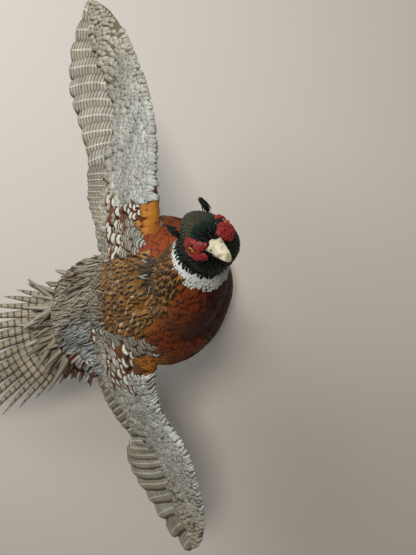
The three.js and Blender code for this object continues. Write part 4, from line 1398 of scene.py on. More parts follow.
def tail_feathers(plumage):
    """The tail's feathers in pairs from the middle out, each pair under the one before."""
    rng = np.random.default_rng(SEED + 70)
    olive, buff, bar = dyes(plumage, "tail_olive", "vane_buff", "tail_bar")
    t = TAIL_RINGS
    swell = np.sin(np.pi * np.minimum(0.5, 0.14 + t)) * (1 - t) ** 0.62
    pairs = product(range(len(TAIL_LENGTHS)), SIDES)
    centre = np.array([on_tail(tail_line(pair, side)) for pair, side in pairs])
    n, k = len(centre), len(t)
    width = np.maximum(0.5, TAIL_HALF_WIDTH * (0.66 + 0.12 * rng.random((n, 1))) * swell)
    lean = np.resize((BLADE_TIP, -BLADE_TIP), n)
    up = np.broadcast_to(TAIL_AXES[:, 2], centre.shape)
    up = unit(up + TAIL_AXES[:, 1] * lean[:, None, None])
    fray = 1 + 0.06 * rng.normal(0, 1, (2, n, k))
    ground = mix(olive, buff, 0.15 + 0.4 * rng.random((n, 1)))
    mark = np.broadcast_to(bar, (n, 3))
    batch = Feathers("tail_feathers", 5)
    batch.add(centre, up, width * fray[0], width * fray[1], t, 0.6, 0.12, ground, mark, *bake_strips(n))
    return batch.build()


# ---------- head ----------
# Each eye's place and gaze, as for the left side: the mount's face is a little askew.
EYES = {
    1: {"at": np.array((10.8, 12.0, 2.9)), "gaze": unit(np.array((0.20, 0.96, 0.18)))},
    -1: {"at": np.array((13.4, 10.0, 3.0)), "gaze": unit(np.array((0.36, 0.88, 0.34)))},
}
# How far the bare red skin reaches from the middle of the eye, by the angle above straight ahead.
WATTLES = {
    1: ((0, 16, 39, 60, 90, 120, 145, 158, 168, 178, 294, 304, 316, 331, 346, 360),
        (12.4, 7.6, 4.9, 4.2, 4.3, 5.6, 9.2, 9.4, 7.0, 2.4, 2.4, 11.4, 14.0, 13.6, 13.4, 12.4)),
    -1: ((0, 6, 14, 39, 60, 97, 120, 134, 143, 152, 164, 170, 302, 307, 311, 317, 325, 333, 341, 348, 354,
          360),
         (11.2, 10.8, 9.2, 6.6, 6.0, 7.0, 8.8, 10.4, 6.4, 4.0, 3.0, 2.4, 2.4, 6.5, 11.0, 12.0, 11.8, 10.4,
          7.8, 8.6, 12.0, 11.2)),
}
WATTLE_INNER = 3.1
WATTLE_RISE = {1: -0.2, -1: -1.0}
# Profile of the sheet from its inner edge to its outer one: shares of the way, and heights.
WATTLE_AT = np.array((0.0, 0.05, 0.18, 0.36, 0.55, 0.74, 0.9, 1.0))
WATTLE_HIGH = np.array((0.5, 1.2, 1.6, 1.9, 2.0, 1.7, 0.9, -0.9))
# Half angles of the opening between the lids, the angle of their outer rim, and their profile.
LID_LONG, LID_HIGH, LID_RIM = 40.0, 25.0, 100.0
LID_AT = np.array((0.04, 0.0, 0.02, 0.10, 0.22, 0.5, 0.8, 1.0, 0.9, 0.4))
LID_RISE = np.array((-0.3, 0.15, 0.45, 0.6, 0.5, 0.4, 0.2, -0.4, -1.2, -0.9))
BEAK_BASE = 25.4
BEAK_LENGTH = 21.6
PAPILLA_GAP = 0.95
PAPILLA_RADIUS = 0.55


def wattle_reach(side, angle):
    return np.interp(angle, *WATTLES[side])


def head_side(f, u):
    """How far out the side of the head lies at a place ahead and above."""
    wide, top, low = (table_value(HEAD, column, f) for column in (1, 2, 3))
    s = np.clip((u - (top + low) / 2) / ((top - low) / 2), -0.97, 0.97)
    return wide * np.sqrt(1 - s * s) * (1 - HEAD_PINCH * s)


def wattle_mesh(side):
    """Bare skin round one eye: a swollen sheet with a rim that sinks into the feathers."""
    turn = np.radians(np.arange(0, 360, 4.0))
    reach = wattle_reach(side, np.degrees(turn)) * (1 + 0.03 * np.sin(7 * turn) + 0.02 * np.sin(13 * turn))
    out = mix(np.minimum(WATTLE_INNER, reach[:, None] - 0.3), reach[:, None], WATTLE_AT[None])
    at = EYES[side]["at"]
    f = np.minimum(at[0] + out * np.cos(turn)[:, None], 24.6)
    u = at[2] + out * np.sin(turn)[:, None]
    fold = 0.35 * np.sin(3.1 * out + 2 * np.cos(turn)[:, None]) * np.sin(np.pi * WATTLE_AT)[None]
    top = head_side(f, u) + WATTLE_RISE[side] + WATTLE_HIGH[None] + fold
    low = head_side(f, u) - 2.6
    ring = np.concatenate([np.stack([f, side * top, u], -1), np.stack([f, side * low, u], -1)[:, ::-1]], 1)
    points, polygons = on_head(ring.reshape(-1, 3)), [loop_polygons(*ring.shape[:2])]
    return solid(mesh_from_polygons(f"wattle_sheet_{SIDES[side]}", points, polygons))


def papillae_group(material):
    """Geometry nodes that sow round papillae over a sheet of skin."""
    tree, given = node_group("wattle_papillae", Spacing="Float", Radius="Float", Seed="Int")
    points = add(tree, "GeometryNodeDistributePointsOnFaces", {
        "Mesh": given["Geometry"], "Distance Min": given["Spacing"], "Density Max": 4.0e6,
        "Seed": given["Seed"]}, distribute_method="POISSON")
    bead = add(tree, "GeometryNodeMeshIcoSphere", {"Radius": given["Radius"], "Subdivisions": 2})
    scale = add(tree, "FunctionNodeRandomValue", {"Min": 0.6, "Max": 1.25, "Seed": given["Seed"]},
                data_type="FLOAT")
    placed = add(tree, "GeometryNodeInstanceOnPoints", {
        "Points": points.outputs["Points"], "Instance": bead.outputs["Mesh"],
        "Rotation": points.outputs["Rotation"], "Scale": scale})
    real = add(tree, "GeometryNodeRealizeInstances", {"Geometry": placed})
    both = add(tree, "GeometryNodeJoinGeometry", {"Geometry": real})
    tree.links.new(given["Geometry"], both.inputs["Geometry"])
    return group_result(tree, both, material)


def eye_directions(side, alpha, phi):
    """Directions at an angle from the gaze and turned about it, as for the left side."""
    gaze = EYES[side]["gaze"]
    beak = np.array((1.0, 0.0, -0.18))
    ahead = unit(beak - gaze * (gaze @ beak))
    above = -np.cross(ahead, gaze)
    rim = ahead * np.cos(phi)[..., None] + above * np.sin(phi)[..., None]
    return gaze * np.cos(alpha)[..., None] + rim * np.sin(alpha)[..., None]


def eye_mesh(side, radius):
    """Glass eye with a bulging cornea; its gaze attribute runs from the pupil's middle to the back."""
    alpha, phi = np.meshgrid(np.linspace(0.02, np.pi - 0.02, 26), turns(32), indexing="ij")
    bulge = 1 + 0.07 * np.exp(-(np.degrees(alpha) / 30) ** 2)
    points = EYES[side]["at"] + eye_directions(side, alpha, phi) * (radius * bulge)[..., None]
    points = points.reshape(-1, 3) * (1, side, 1)
    made = mesh_from_polygons(f"eye_glass_{SIDES[side]}", on_head(points), ring_polygons(*alpha.shape))
    add_colour(made, "gaze", np.repeat(alpha.ravel()[:, None] / np.pi, 3, 1))
    return solid(made)


def lid_mesh(side, radius):
    """Thick rolled lids round a narrow opening."""
    phi = turns(48)
    opening = 1 / np.hypot(np.cos(phi) / LID_LONG, np.sin(phi) / LID_HIGH)
    alpha = np.radians(opening[:, None] + (LID_RIM - opening[:, None]) * LID_AT[None])
    crease = 0.12 * np.sin(LID_AT * 30)[None]
    turned = eye_directions(side, alpha, np.broadcast_to(phi[:, None], alpha.shape))
    points = EYES[side]["at"] + turned * (radius + LID_RISE[None] + crease)[..., None]
    points = on_head(points.reshape(-1, 3) * (1, side, 1))
    return solid(mesh_from_polygons(f"eyelids_{SIDES[side]}", points, [loop_polygons(*alpha.shape)]))


def beak_mesh(name, lower):
    """Upper or lower half of the bill, with a chipped base; shade is its darkness, partly painted shade."""
    t = (1 - np.cos(np.pi * np.arange(26) / 25)) / 2
    turn = turns(40)
    c, s = np.cos(turn), np.sin(turn)
    reach = BEAK_LENGTH * (0.88 if lower else 1.0)
    half = (3.9 + 2.9 * (1 - t) ** 1.6) * np.sqrt(np.clip(1 - t ** 8, 0.002, 1)) * (0.86 if lower else 1.0)
    drop = -8.0 * t ** 2.4
    seam = -2.2 - 3.2 * t * t
    top = np.where(lower, seam - 0.1, 4.4 + drop)
    low = np.where(lower, -7.0 + 3.6 * t * t, seam + 0.1 - 1.3 * (t > 0.86) * (t - 0.86) / 0.14)
    top = np.maximum(top, low + 0.4)
    # The base is broken into a prong over the culmen and one at each side, with notches between them.
    chips = -(2.6 * np.cos(4 * turn) + 0.7 * np.sin(11 * turn)) * np.exp(-t[:, None] * 5)
    x = BEAK_BASE + reach * t[:, None] + chips
    # The culmen is narrower than the cutting edge, and the nostril is sunk under its flap.
    peak = np.clip(-s if lower else s, 0, 1)
    y = half[:, None] * c * (1 - 0.34 * peak)
    z = ((top + low) / 2)[:, None] + s * ((top - low) / 2)[:, None]
    nostril = np.exp(-((t[:, None] - 0.30) / 0.055) ** 2 - ((s - 0.28) / 0.2) ** 2) * (1 - lower)
    y = y * (1 - 0.13 * nostril)
    flap = np.exp(-((t[:, None] - 0.26) / 0.08) ** 2 - ((s - 0.62) / 0.16) ** 2) * (1 - lower)
    y = y * (1 + 0.07 * flap)
    points = np.stack([x, y, z], -1)
    made = mesh_from_polygons(name, on_head(points.reshape(-1, 3)), ring_polygons(*x.shape))
    # shade holds painted shade in the nostril's hollow and, partly, along the edges where the halves meet,
    # besides a stained base and a darker tip.
    edge = np.exp(-((s + (-0.85 if lower else 0.85)) / 0.22) ** 2) * 0.5
    base = 0.75 * np.exp(-t[:, None] * 16)
    shade = np.clip(nostril * 1.4 + edge + base + 0.4 * (t[:, None] > 0.92), 0, 1)
    add_colour(made, "shade", np.repeat(shade.ravel()[:, None], 3, 1))
    return solid(made)


def tuft_feathers(side, plumage):
    """Short erect feathers of one ear tuft."""
    rng = np.random.default_rng(SEED + 95 + side)
    n = 34
    v = np.array((0, 0.3, 0.6, 0.85, 1.0))
    root = np.array((-9.5, side * 14.6, 10.5)) + rng.normal(0, 1.7, (n, 3))
    tip = np.array((-14.5, side * 16.0, 19.5)) + rng.normal(0, 1.0, (n, 3))
    tip = tip - rng.random((n, 1)) * (-2.0, side * 0.8, 3.0)
    bend = np.sin(np.pi * v)[None, :, None] * np.array((-0.4, side * 0.9, 0.3))
    centre = root[:, None] + (tip - root)[:, None] * v[None, :, None] + bend
    up = np.broadcast_to(np.array((0.2, side * 0.9, 0.3)), centre.shape)
    width = np.full((n, 1), 2.1) * cut_width("round", v)[None]
    black, green = dyes(plumage, "head_black", "head_green")
    ground = mix(black, green, rng.random((n, 1)) * 0.5)
    mark = np.broadcast_to(black, (n, 3))
    root_uv = 0.2 + 0.6 * rng.random((n, 2))
    batch = Feathers(f"ear_tuft_feathers_{SIDES[side]}", 3)
    batch.add(on_head(centre), up @ HEAD_AXES.T, width, width, v, 0.18, 0.2, ground, mark, root_uv)
    return batch.build()


def stored_shade(tree, name):
    """A value kept in a grey colour attribute."""
    grey = add(tree, "ShaderNodeAttribute", attribute_name=name)
    return add(tree, "ShaderNodeSeparateColor", {0: grey}).outputs[0]


def wattle_material(head, plumage):
    """Bare scarlet skin: fleshy, a little translucent, with painted shade in noise patches that stand for
    its folds, and black specks.
    """
    material, tree, shader = new_material("wattle_skin", Roughness=0.48, Specular_IOR_Level=0.4,
                                          Subsurface_Weight=0.12, Subsurface_Scale=1.5 * MM)
    place = add(tree, "ShaderNodeTexCoord").outputs["Object"]
    fold = add(tree, "ShaderNodeTexNoise", {"Vector": place, "Scale": 420.0, "Detail": 3.0})
    # Painted shade: the scarlet darkened to a third where the fold noise is high; the same noise raises the
    # bump.
    dark = tuple(c * 0.32 for c in head.wattle_scarlet)
    tint = paint(tree, rgba(head.wattle_scarlet), rgba(dark), band(tree, fold, (0.42, 0.68)))
    speck = add(tree, "ShaderNodeTexVoronoi", {"Vector": place, "Scale": 520.0})
    specks = band(tree, speck.outputs["Distance"], fall=(0.16, 0.26))
    tint = paint(tree, tint, rgba(plumage.head_black), specks)
    dress(tree, shader, tint, fold, 0.6, 0.4)
    return material


PUPIL_BLACK = (0.004, 0.003, 0.002, 1)
RIM_BLACK = (0.006, 0.004, 0.003, 1)


def eye_material(head):
    """Cast glass eye: black pupil, amber iris with fine rays and a dark rim, under a polished surface."""
    material, tree, shader = new_material("glass_eye", Roughness=0.06, Coat_Weight=1.0)
    gaze = stored_shade(tree, "gaze")
    place = add(tree, "ShaderNodeTexCoord").outputs["Object"]
    rays = add(tree, "ShaderNodeTexNoise", {"Vector": place, "Scale": 900.0, "Detail": 2.0})
    dark = rgba([c * 0.35 for c in head.iris_amber])
    iris = paint(tree, rgba(head.iris_amber), dark, band(tree, rays, (0.45, 0.7)))
    iris = paint(tree, iris, PUPIL_BLACK, band(tree, gaze, fall=(0.085, 0.10)))
    iris = paint(tree, iris, RIM_BLACK, band(tree, gaze, (0.235, 0.275)))
    dress(tree, shader, iris)
    return material


def horn_material(head):
    """Dry horn of the bill: ivory, stained at the base, darker along its edges and in the nostril, partly
    as painted shade, with fine growth lines.
    """
    material, tree, shader = new_material("bill_horn", Roughness=0.42, Specular_IOR_Level=0.45)
    shade = stored_shade(tree, "shade")
    place = add(tree, "ShaderNodeTexCoord").outputs["Object"]
    stain = add(tree, "ShaderNodeTexNoise", {"Vector": place, "Scale": 230.0, "Detail": 5.0})
    tint = paint(tree, rgba(head.bill_ivory), rgba(head.bill_shade), band(tree, stain, (0.45, 0.66)))
    # Painted shade of the nostril and the seam between the halves comes in with shade, together with the
    # stained base.
    mixed = add(tree, "ShaderNodeMath", {0: stain, 1: 0.35, 2: shade}, operation="MULTIPLY_ADD")
    tint = paint(tree, tint, rgba(head.claw_brown), band(tree, mixed, (0.42, 0.95)))
    dress(tree, shader, tint, stain, 0.5, 0.35)
    return material


# ---------- legs ----------
SHANK = 70.0
SPUR = 13.0
HIND_TOE = 19.0
# Length and sideways lean of each front toe, the inner one first.
TOES = ((38.0, -0.34), (50.0, 0.0), (40.0, 0.34))
CLAW_FROM = 0.80


def leg_limbs(side):
    """Three points along the shank, each toe and the spur, with the radius at its root and at its tip."""
    knee = thigh_line(side)[2]
    heel = knee + (-SHANK * 0.94, side * -2, -SHANK * 0.2)
    start = knee + (7, 0, 3.5)
    way = unit(heel - knee)
    limbs = [("shank", (start, mix(start, heel, 0.5), heel), 3.5, 3.9)]
    for reach, lean in TOES:
        ahead = unit(way + (0, side * lean, 0))
        joint = heel + ahead * reach * 0.5 - (0, 0, 3)
        tip = heel + ahead * reach * 0.86 - (0, 0, reach * 0.42)
        limbs.append(("toe", (heel - way * 2, joint, tip), 3.1, 2.0))
    behind = heel - way * 5
    tip = behind + (HIND_TOE * 0.5, side * -4, -HIND_TOE * 0.8)
    limbs.append(("toe", (behind, mix(behind, tip, 0.5) + (2, 0, 1.5), tip), 2.6, 1.5))
    root = heel - way * SHANK * 0.36
    tip = root + (-3, side * -SPUR * 0.5, -SPUR * 0.85)
    limbs.append(("spur", (root, mix(root, tip, 0.5), tip), 2.7, 0.4))
    return limbs


def limb_tube(points, start, end, first, last, pads=0.0):
    """Rings round a part of a limb, swollen at its joints where it has pads."""
    t = np.linspace(start, end, 26)
    share = (t - start) / (end - start)
    radii = mix(first, last, share) * (1 + pads * np.cos(share * 6 * np.pi))
    radii[[0, -1]] *= 0.4
    return tube_form(curve_points(points, t), radii, radii * 1.08, 14)


def forms_mesh(name, forms):
    points, polygons, start = [], [], 0
    for form in forms:
        points.append(form.reshape(-1, 3))
        polygons += [group + start for group in ring_polygons(*form.shape[:2])]
        start += form.shape[0] * form.shape[1]
    return mesh_from_polygons(name, np.concatenate(points), polygons)


# For a shank and a toe: where its flesh ends, how its joints swell, and the number and rows of its scutes.
LIMB_KINDS = {
    "shank": (1.0, 0.0, 26, (-0.45, 0.45)),
    "toe": (CLAW_FROM + 0.03, 0.09, 11, (0.0,)),
}


def leg_pieces(side):
    """Shank and toes in one mesh, claws and spur in another, and a guide of points for the scutes."""
    flesh, horn, places, facing, along = [], [], [], [], []
    for kind, points, first, last in leg_limbs(side):
        if kind == "spur":
            horn.append(limb_tube(points, 0, 1, first, last))
            continue
        end, pads, count, rows = LIMB_KINDS[kind]
        flesh.append(limb_tube(points, 0, end, first, last, pads))
        if kind == "toe":
            horn.append(limb_tube(points, CLAW_FROM - 0.04, 1, last * 0.75, 0.25))
        for row in rows:
            t = np.linspace(0.1, end - 0.05, count) + max(row, 0) * 0.04
            line = curve_points(points, t)
            way = unit(np.gradient(line, axis=0))
            up = unit(np.array((0.0, row, 1.0)) - way * (way @ (0.0, row, 1.0))[:, None])
            places.append(line + up * mix(first, last, t)[:, None])
            facing.append(up)
            along.append(way)
    legs = solid(forms_mesh(f"legs_{SIDES[side]}", flesh))
    claws = solid(forms_mesh(f"claws_{SIDES[side]}", horn))
    guide = bpy.data.meshes.new("scute_places")
    guide.from_pydata(to_row(np.concatenate(places)).tolist(), [], [])
    for key, vectors in (("facing", facing), ("along", along)):
        layer = guide.attributes.new(key, "FLOAT_VECTOR", "POINT")
        layer.data.foreach_set("vector", (np.concatenate(vectors) @ BIRD_AXES.T).astype(np.float32).ravel())
    return legs, claws, new_object("scute_places", guide)


def scute_group(material):
    """Geometry nodes that set one domed scute on every point of a guide, turned to its facing."""
    tree, given = node_group("leg_scutes", Length="Float", Width="Float", Thickness="Float")
    size = add(tree, "ShaderNodeCombineXYZ", {
        "X": given["Length"], "Y": given["Width"], "Z": given["Thickness"]})
    dome = add(tree, "GeometryNodeMeshIcoSphere", {"Radius": 1.0, "Subdivisions": 2})
    dome = add(tree, "GeometryNodeTransform", {"Geometry": dome.outputs["Mesh"], "Scale": size})
    facing = add(tree, "GeometryNodeInputNamedAttribute", {"Name": "facing"}, data_type="FLOAT_VECTOR")
    along = add(tree, "GeometryNodeInputNamedAttribute", {"Name": "along"}, data_type="FLOAT_VECTOR")
    turn = add(tree, "FunctionNodeAlignRotationToVector", {"Vector": facing}, axis="Z")
    turn = add(tree, "FunctionNodeAlignRotationToVector", {"Rotation": turn, "Vector": along}, axis="X",
               pivot_axis="Z")
    placed = add(tree, "GeometryNodeInstanceOnPoints", {
        "Points": given["Geometry"], "Instance": dome, "Rotation": turn})
    return group_result(tree, add(tree, "GeometryNodeRealizeInstances", {"Geometry": placed}), material)


# ---------- stand ----------
SCREW_RADIUS = 2.6
SCREW_SLOT = 0.42
SCREW_RING = 14.4
SCREW_SEAT = 3.7


def screw_mesh():
    """Slotted screw head with a domed top, its rim at the origin's height."""
    radii = np.array((0.3, 0.8, 1.3, 1.8, 2.2, 2.5, SCREW_RADIUS, SCREW_RADIUS * 0.9, 0.3))
    height = np.array((0.50, 0.49, 0.46, 0.40, 0.32, 0.2, 0.05, -0.6, -0.6))
    turn = turns(48)
    x, y = radii[:, None] * np.cos(turn), radii[:, None] * np.sin(turn)
    z = np.broadcast_to(height[:, None], x.shape) - 0.55 * (np.abs(y) < SCREW_SLOT) * (height > 0)[:, None]
    points = np.stack([x, y, z], -1).reshape(-1, 3) * MM
    mesh = bpy.data.meshes.new("screw_head")
    faces = [face for group in ring_polygons(*x.shape) for face in group.tolist()]
    mesh.from_pydata(points.tolist(), [], faces)
    return solid(new_object("screw_head", mesh))


def screw_group(material):
    """Geometry nodes that set screws evenly on a circle, each turned at random."""
    tree, given = node_group("ring_of_screws", Count="Int", Radius="Float", Height="Float", Seed="Int")
    circle = add(tree, "GeometryNodeMeshCircle", {"Vertices": given["Count"], "Radius": given["Radius"]})
    turn = add(tree, "FunctionNodeRandomValue", {"Max": math.pi, "Seed": given["Seed"]}, data_type="FLOAT")
    placed = add(tree, "GeometryNodeInstanceOnPoints", {
        "Points": circle.outputs["Mesh"], "Instance": given["Geometry"],
        "Rotation": add(tree, "ShaderNodeCombineXYZ", {"Z": turn})})
    lift = add(tree, "ShaderNodeCombineXYZ", {"Z": given["Height"]})
    placed = add(tree, "GeometryNodeTransform", {"Geometry": placed, "Translation": lift})
    return group_result(tree, add(tree, "GeometryNodeRealizeInstances", {"Geometry": placed}), material)


def walnut_material(stand):
    """Oiled walnut: growth rings in long bands along the board, with fine dark pores."""
    material, tree, shader = new_material("oiled_walnut", Roughness=0.42, Specular_IOR_Level=0.4)
    place = add(tree, "ShaderNodeTexCoord").outputs["Object"]
    board = add(tree, "ShaderNodeMapping", {"Vector": place, "Scale": (0.12, 1.0, 1.0)})
    rings = add(tree, "ShaderNodeTexWave", {
        "Vector": board, "Scale": 26.0, "Distortion": 5.0, "Detail": 3.0, "Detail Scale": 1.5,
    }, bands_direction="Y").outputs["Fac"]
    pores = add(tree, "ShaderNodeTexNoise", {"Vector": board, "Scale": 900.0, "Detail": 2.0})
    light, dark = rgba(stand.wood_light), rgba(stand.wood_dark)
    tint = paint(tree, light, dark, band(tree, rings, (0.2, 0.9)), 0.75)
    tint = paint(tree, tint, dark, band(tree, pores, (0.55, 0.7)), 0.8)
    dress(tree, shader, tint, pores, 0.25, 0.1)
    return material


# ---------- operators ----------
# Random places on the skin, which its operator leaves for the feathers that grow on it.
STATE = {}
SKINNED = ("trunk", "neck", "head", "thigh_left", "thigh_right", "wing_left_arm", "wing_right_arm")


class PHEASANT_OT_skin(bpy.types.Operator):
    """One skin under all the feathers, marked like them"""

    bl_idname = "pheasant.skin"
    bl_label = "Skin"

    def execute(self, context):
        plumage = context.scene.pheasant_plumage
        skin = build_skin(plumage)
        where = Places(from_row(read_vectors(skin, "co")), read_vectors(skin, "normal") @ BIRD_AXES)
        tract = tract_of(where)
        ground = np.tile(np.array(plumage.covert_brown), (len(where), 1))
        rng = np.random.default_rng(SEED)
        for name in TRACTS:
            chosen = tract == name
            if chosen.any():
                # The skin takes each tract's ground darkened to 0.6, or to 0.85 under collar, breast and
                # shoulder: painted shade where it shows between the feathers.
                depth = 0.85 if name in ("collar", "breast", "shoulder") else 0.6
                like = "scapular" if name == "ringed" else name
                ground[chosen] = tract_colours(like, where.only(chosen), plumage, rng)[0] * depth
        add_colour(skin, "ground", ground)
        add_uv(skin, "OFBake", fit_unit(np.column_stack([where.roll / 90, where.x / 60])))
        material, tree, shader = new_material("feather_base_down", Roughness=0.9, Specular_IOR_Level=0.08)
        down = add(tree, "ShaderNodeAttribute", attribute_name="ground")
        tree.links.new(down.outputs["Color"], shader.inputs["Base Color"])
        finish_piece(skin, material, "breast_feathers", *SKINNED)
        STATE["places"] = sample_skin(skin, SKIN_SAMPLES, SEED)
        return {"FINISHED"}


class PHEASANT_OT_body_feathers(bpy.types.Operator):
    """Feather tracts of the body, neck and head, one mesh for each; they grow on the skin, built first"""

    bl_idname = "pheasant.body_feathers"
    bl_label = "Body Feathers"

    def execute(self, context):
        plumage = context.scene.pheasant_plumage
        points, normals, spread, tree = STATE["places"]
        where = Places(points, normals)
        tract, under = tract_of(where), tract_of(where, False)
        gloss = {"head": linear("0d2a20")}
        for name in TRACTS:
            here = (tract == name) | ((under == name) & (tract == "collar") & (where.collar < 2))
            made = place_tract(name, where.only(here), spread, tree, plumage)
            sort = TRACTS[name]
            look = (sort.marks, sort.roughness, sort.specular, gloss.get(name))
            finish_piece(made, feather_material(sort.material, *look), sort.slot)
        return {"FINISHED"}


class PHEASANT_OT_wing_feathers(bpy.types.Operator):
    """Coverts, secondaries and primaries of both wings"""

    bl_idname = "pheasant.wing_feathers"
    bl_label = "Wing Feathers"

    def execute(self, context):
        plumage = context.scene.pheasant_plumage
        covert = feather_material("covert_feather", vermiculated_marks)
        flight = feather_material("flight_feather", barred_marks, 0.5, 0.4, spacing=0.8)
        for name, wing in WING.items():
            rng = np.random.default_rng(SEED + 30 + wing.side)
            for face, rows, label in ((1, upper_rows(wing), "upper"), (-1, under_rows(wing), "under")):
                batch = Feathers(f"wing_{name}_{label}_coverts", 5)
                for row in rows:
                    covert_row(batch, wing, row, face, rng, plumage)
                finish_piece(batch.build(), covert, "wing_coverts")
            made = flight_feathers(f"wing_{name}_flight_feathers", wing, plumage)
            finish_piece(made, flight, "flight_feathers", f"wing_{name}_hand")
        return {"FINISHED"}


class PHEASANT_OT_tail_feathers(bpy.types.Operator):
    """The long feathers of the tail"""

    bl_idname = "pheasant.tail_feathers"
    bl_label = "Tail Feathers"

    def execute(self, context):
        material = feather_material("tail_feather", tail_marks, 0.5, 0.4, spacing=1.7)
        finish_piece(tail_feathers(context.scene.pheasant_plumage), material, "tail_feathers", "tail")
        return {"FINISHED"}


class PHEASANT_OT_head_parts(bpy.types.Operator):
    """Eyes, lids, bare skin, bill and ear tufts"""

    bl_idname = "pheasant.head_parts"
    bl_label = "Head Parts"

    def execute(self, context):
        plumage, head = context.scene.pheasant_plumage, context.scene.pheasant_head
        radius = head.eye_radius / MM
        horn, glass = horn_material(head), eye_material(head)
        wattle = wattle_material(head, plumage)
        lid = plain_material("lid_skin", plumage.head_black, linear("1d1613"), 700, bump=0.2, Roughness=0.7,
                             Specular_IOR_Level=0.15)
        tuft = feather_material("tuft_feather", streaked_marks, 0.6, 0.2)
        papillae = papillae_group(wattle)
        sizes = {"Spacing": PAPILLA_GAP * MM, "Radius": PAPILLA_RADIUS * MM, "Seed": SEED}
        for side, name in SIDES.items():
            finish_piece(eye_mesh(side, radius), glass, "eye_glass", f"eye_{name}")
            finish_piece(lid_mesh(side, radius), lid, "wattle_skin")
            bare = run_nodes(wattle_mesh(side), papillae, f"wattle_skin_{name}", sizes)
            finish_piece(bare, None, "wattle_skin", f"wattle_{name}")
            finish_piece(tuft_feathers(side, plumage), tuft, "head_feathers", f"ear_tuft_{name}")
        for lower, name in enumerate(("bill_upper", "bill_lower")):
            finish_piece(beak_mesh(f"{name}_horn", lower), horn, "bill_horn", name)
        return {"FINISHED"}


class PHEASANT_OT_legs(bpy.types.Operator):
    """Scaled shanks, toes, claws and spurs"""

    bl_idname = "pheasant.legs"
    bl_label = "Legs"

    def execute(self, context):
        head = context.scene.pheasant_head
        grey, brown = head.leg_grey, head.claw_brown
        skin = plain_material("leg_scales", grey, brown, 300, (0.5, 0.8), 0.3, Roughness=0.55)
        horn = plain_material("claw_horn", brown, grey, 240, (0.5, 0.9), 0.15, Roughness=0.35)
        scutes = scute_group(skin)
        sizes = {"Length": 1.7 * MM, "Width": 2.5 * MM, "Thickness": 0.75 * MM}
        for side, name in SIDES.items():
            legs, claws, guide = leg_pieces(side)
            finish_piece(legs, skin, "foot_scales", f"foot_{name}")
            finish_piece(claws, horn, "foot_scales")
            finish_piece(run_nodes(guide, scutes, f"leg_scutes_{name}", sizes), None, "foot_scales")
        return {"FINISHED"}


class PHEASANT_OT_stand(bpy.types.Operator):
    """Turned wooden base, brass flange and steel rod"""

    bl_idname = "pheasant.stand"
    bl_label = "Stand"

    def execute(self, context):
        stand = context.scene.pheasant_stand
        finishes = {
            "stand_base": walnut_material(stand),
            "stand_flange": plain_material("lacquered_brass", linear("b48d48"), linear("9a7638"), 300,
                                           Metallic=1.0, Roughness=0.3),
            "stand_rod": plain_material("drawn_steel", linear("8f9296"), linear("7c8084"), 300,
                                        Metallic=1.0, Roughness=0.35),
        }
        for node, material in finishes.items():
            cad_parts[node].data.materials.clear()
            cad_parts[node].data.materials.append(material)
        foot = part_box("stand_flange")[0][2]
        values = {"Count": 4, "Radius": SCREW_RING * MM, "Height": foot + SCREW_SEAT * MM, "Seed": SEED}
        screws = run_nodes(screw_mesh(), screw_group(finishes["stand_rod"]), "flange_screws", values)
        finish_piece(screws, None, "stand_steel")
        return {"FINISHED"}


# Camera place in metres, straight above the bird; height of its sensor in millimetres, and its lens as a
# share of that height.
CAMERA_AT = (0.066, 0.014, 0.790)
SENSOR = 36.0
LENS = 401.0 / 555.0
# Name, place, width, power and colour of each area light; all look at one point.
LIGHTS = (
    ("key", (-0.04, 0.40, 1.70), 0.34, 14.0, "fff8f0"),
    ("window", (-1.05, 1.0, 1.15), 1.1, 22.0, "eef4fb"),
)
LIGHTS_AIM = (0.0, 0.0, 0.2)
SKY_STRENGTH = 0.12
FLOOR_HALF = 6.0


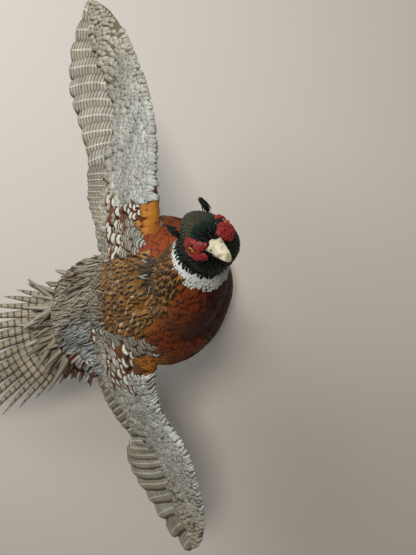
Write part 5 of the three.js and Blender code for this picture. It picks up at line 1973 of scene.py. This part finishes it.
class PHEASANT_OT_stage(bpy.types.Operator):
    """Plain pale floor, soft studio light and the camera"""

    bl_idname = "pheasant.stage"
    bl_label = "Stage"

    def execute(self, context):
        scene = context.scene
        mesh = bpy.data.meshes.new("floor")
        corners = [(x * FLOOR_HALF, y * FLOOR_HALF, 0) for x, y in ((-1, -1), (1, -1), (1, 1), (-1, 1))]
        mesh.from_pydata(corners, [], [(0, 1, 2, 3)])
        pale = tuple(scene.pheasant_stand.floor_pale)
        material, _, _ = new_material("matt_floor", Base_Color=pale, Roughness=0.8)
        mesh.materials.append(material)
        floor = new_object("floor", mesh)

        for name, place, width, power, tint in LIGHTS:
            data = bpy.data.lights.new(name, "AREA")
            data.size, data.energy, data.color = width, power, linear(tint)
            lamp = new_object(name, data)
            lamp.location = place
            aim = Vector(LIGHTS_AIM) - Vector(place)
            lamp.rotation_euler = aim.to_track_quat("-Z", "Y").to_euler()

        world = bpy.data.worlds.new("studio")
        world.use_nodes = True
        sky = world.node_tree.nodes["Background"]
        sky.inputs["Color"].default_value = rgba(linear("f2efe9"))
        sky.inputs["Strength"].default_value = SKY_STRENGTH
        scene.world = world

        data = bpy.data.cameras.new("camera")
        data.sensor_fit, data.sensor_height, data.lens = "VERTICAL", SENSOR, LENS * SENSOR
        data.clip_start = 0.01
        camera = new_object("camera", data)
        camera.location = CAMERA_AT
        scene.camera = camera
        scene.view_settings.view_transform = "Standard"
        return {"FINISHED"}


class PHEASANT_PT_panel(bpy.types.Panel):
    """Lists what the add-on builds"""

    bl_label = "Mounted Pheasant"
    bl_idname = "PHEASANT_PT_panel"
    bl_space_type = "VIEW_3D"
    bl_region_type = "UI"
    bl_category = "Pheasant"

    def draw(self, context):
        column = self.layout.column()
        for operator in OPERATORS:
            column.operator(operator.bl_idname)
        for group in (getattr(context.scene, key) for key in GROUPS):
            for name in group.__annotations__:
                column.prop(group, name)


GROUPS = {
    "pheasant_plumage": PHEASANT_PG_plumage,
    "pheasant_head": PHEASANT_PG_head,
    "pheasant_stand": PHEASANT_PG_stand,
}
OPERATORS = (
    PHEASANT_OT_stage,
    PHEASANT_OT_skin,
    PHEASANT_OT_body_feathers,
    PHEASANT_OT_wing_feathers,
    PHEASANT_OT_tail_feathers,
    PHEASANT_OT_head_parts,
    PHEASANT_OT_legs,
    PHEASANT_OT_stand,
)


def register():
    for group in GROUPS.values():
        bpy.utils.register_class(group)
    for operator in OPERATORS:
        bpy.utils.register_class(operator)
    bpy.utils.register_class(PHEASANT_PT_panel)
    for name, group in GROUPS.items():
        setattr(bpy.types.Scene, name, PointerProperty(type=group))


def unregister():
    for name in GROUPS:
        delattr(bpy.types.Scene, name)
    for known in (PHEASANT_PT_panel, *OPERATORS, *GROUPS.values()):
        bpy.utils.unregister_class(known)


def main():
    register()
    for operator in OPERATORS:
        getattr(bpy.ops.pheasant, operator.bl_idname.split(".")[1])()


if __name__ == "__main__":
    main()
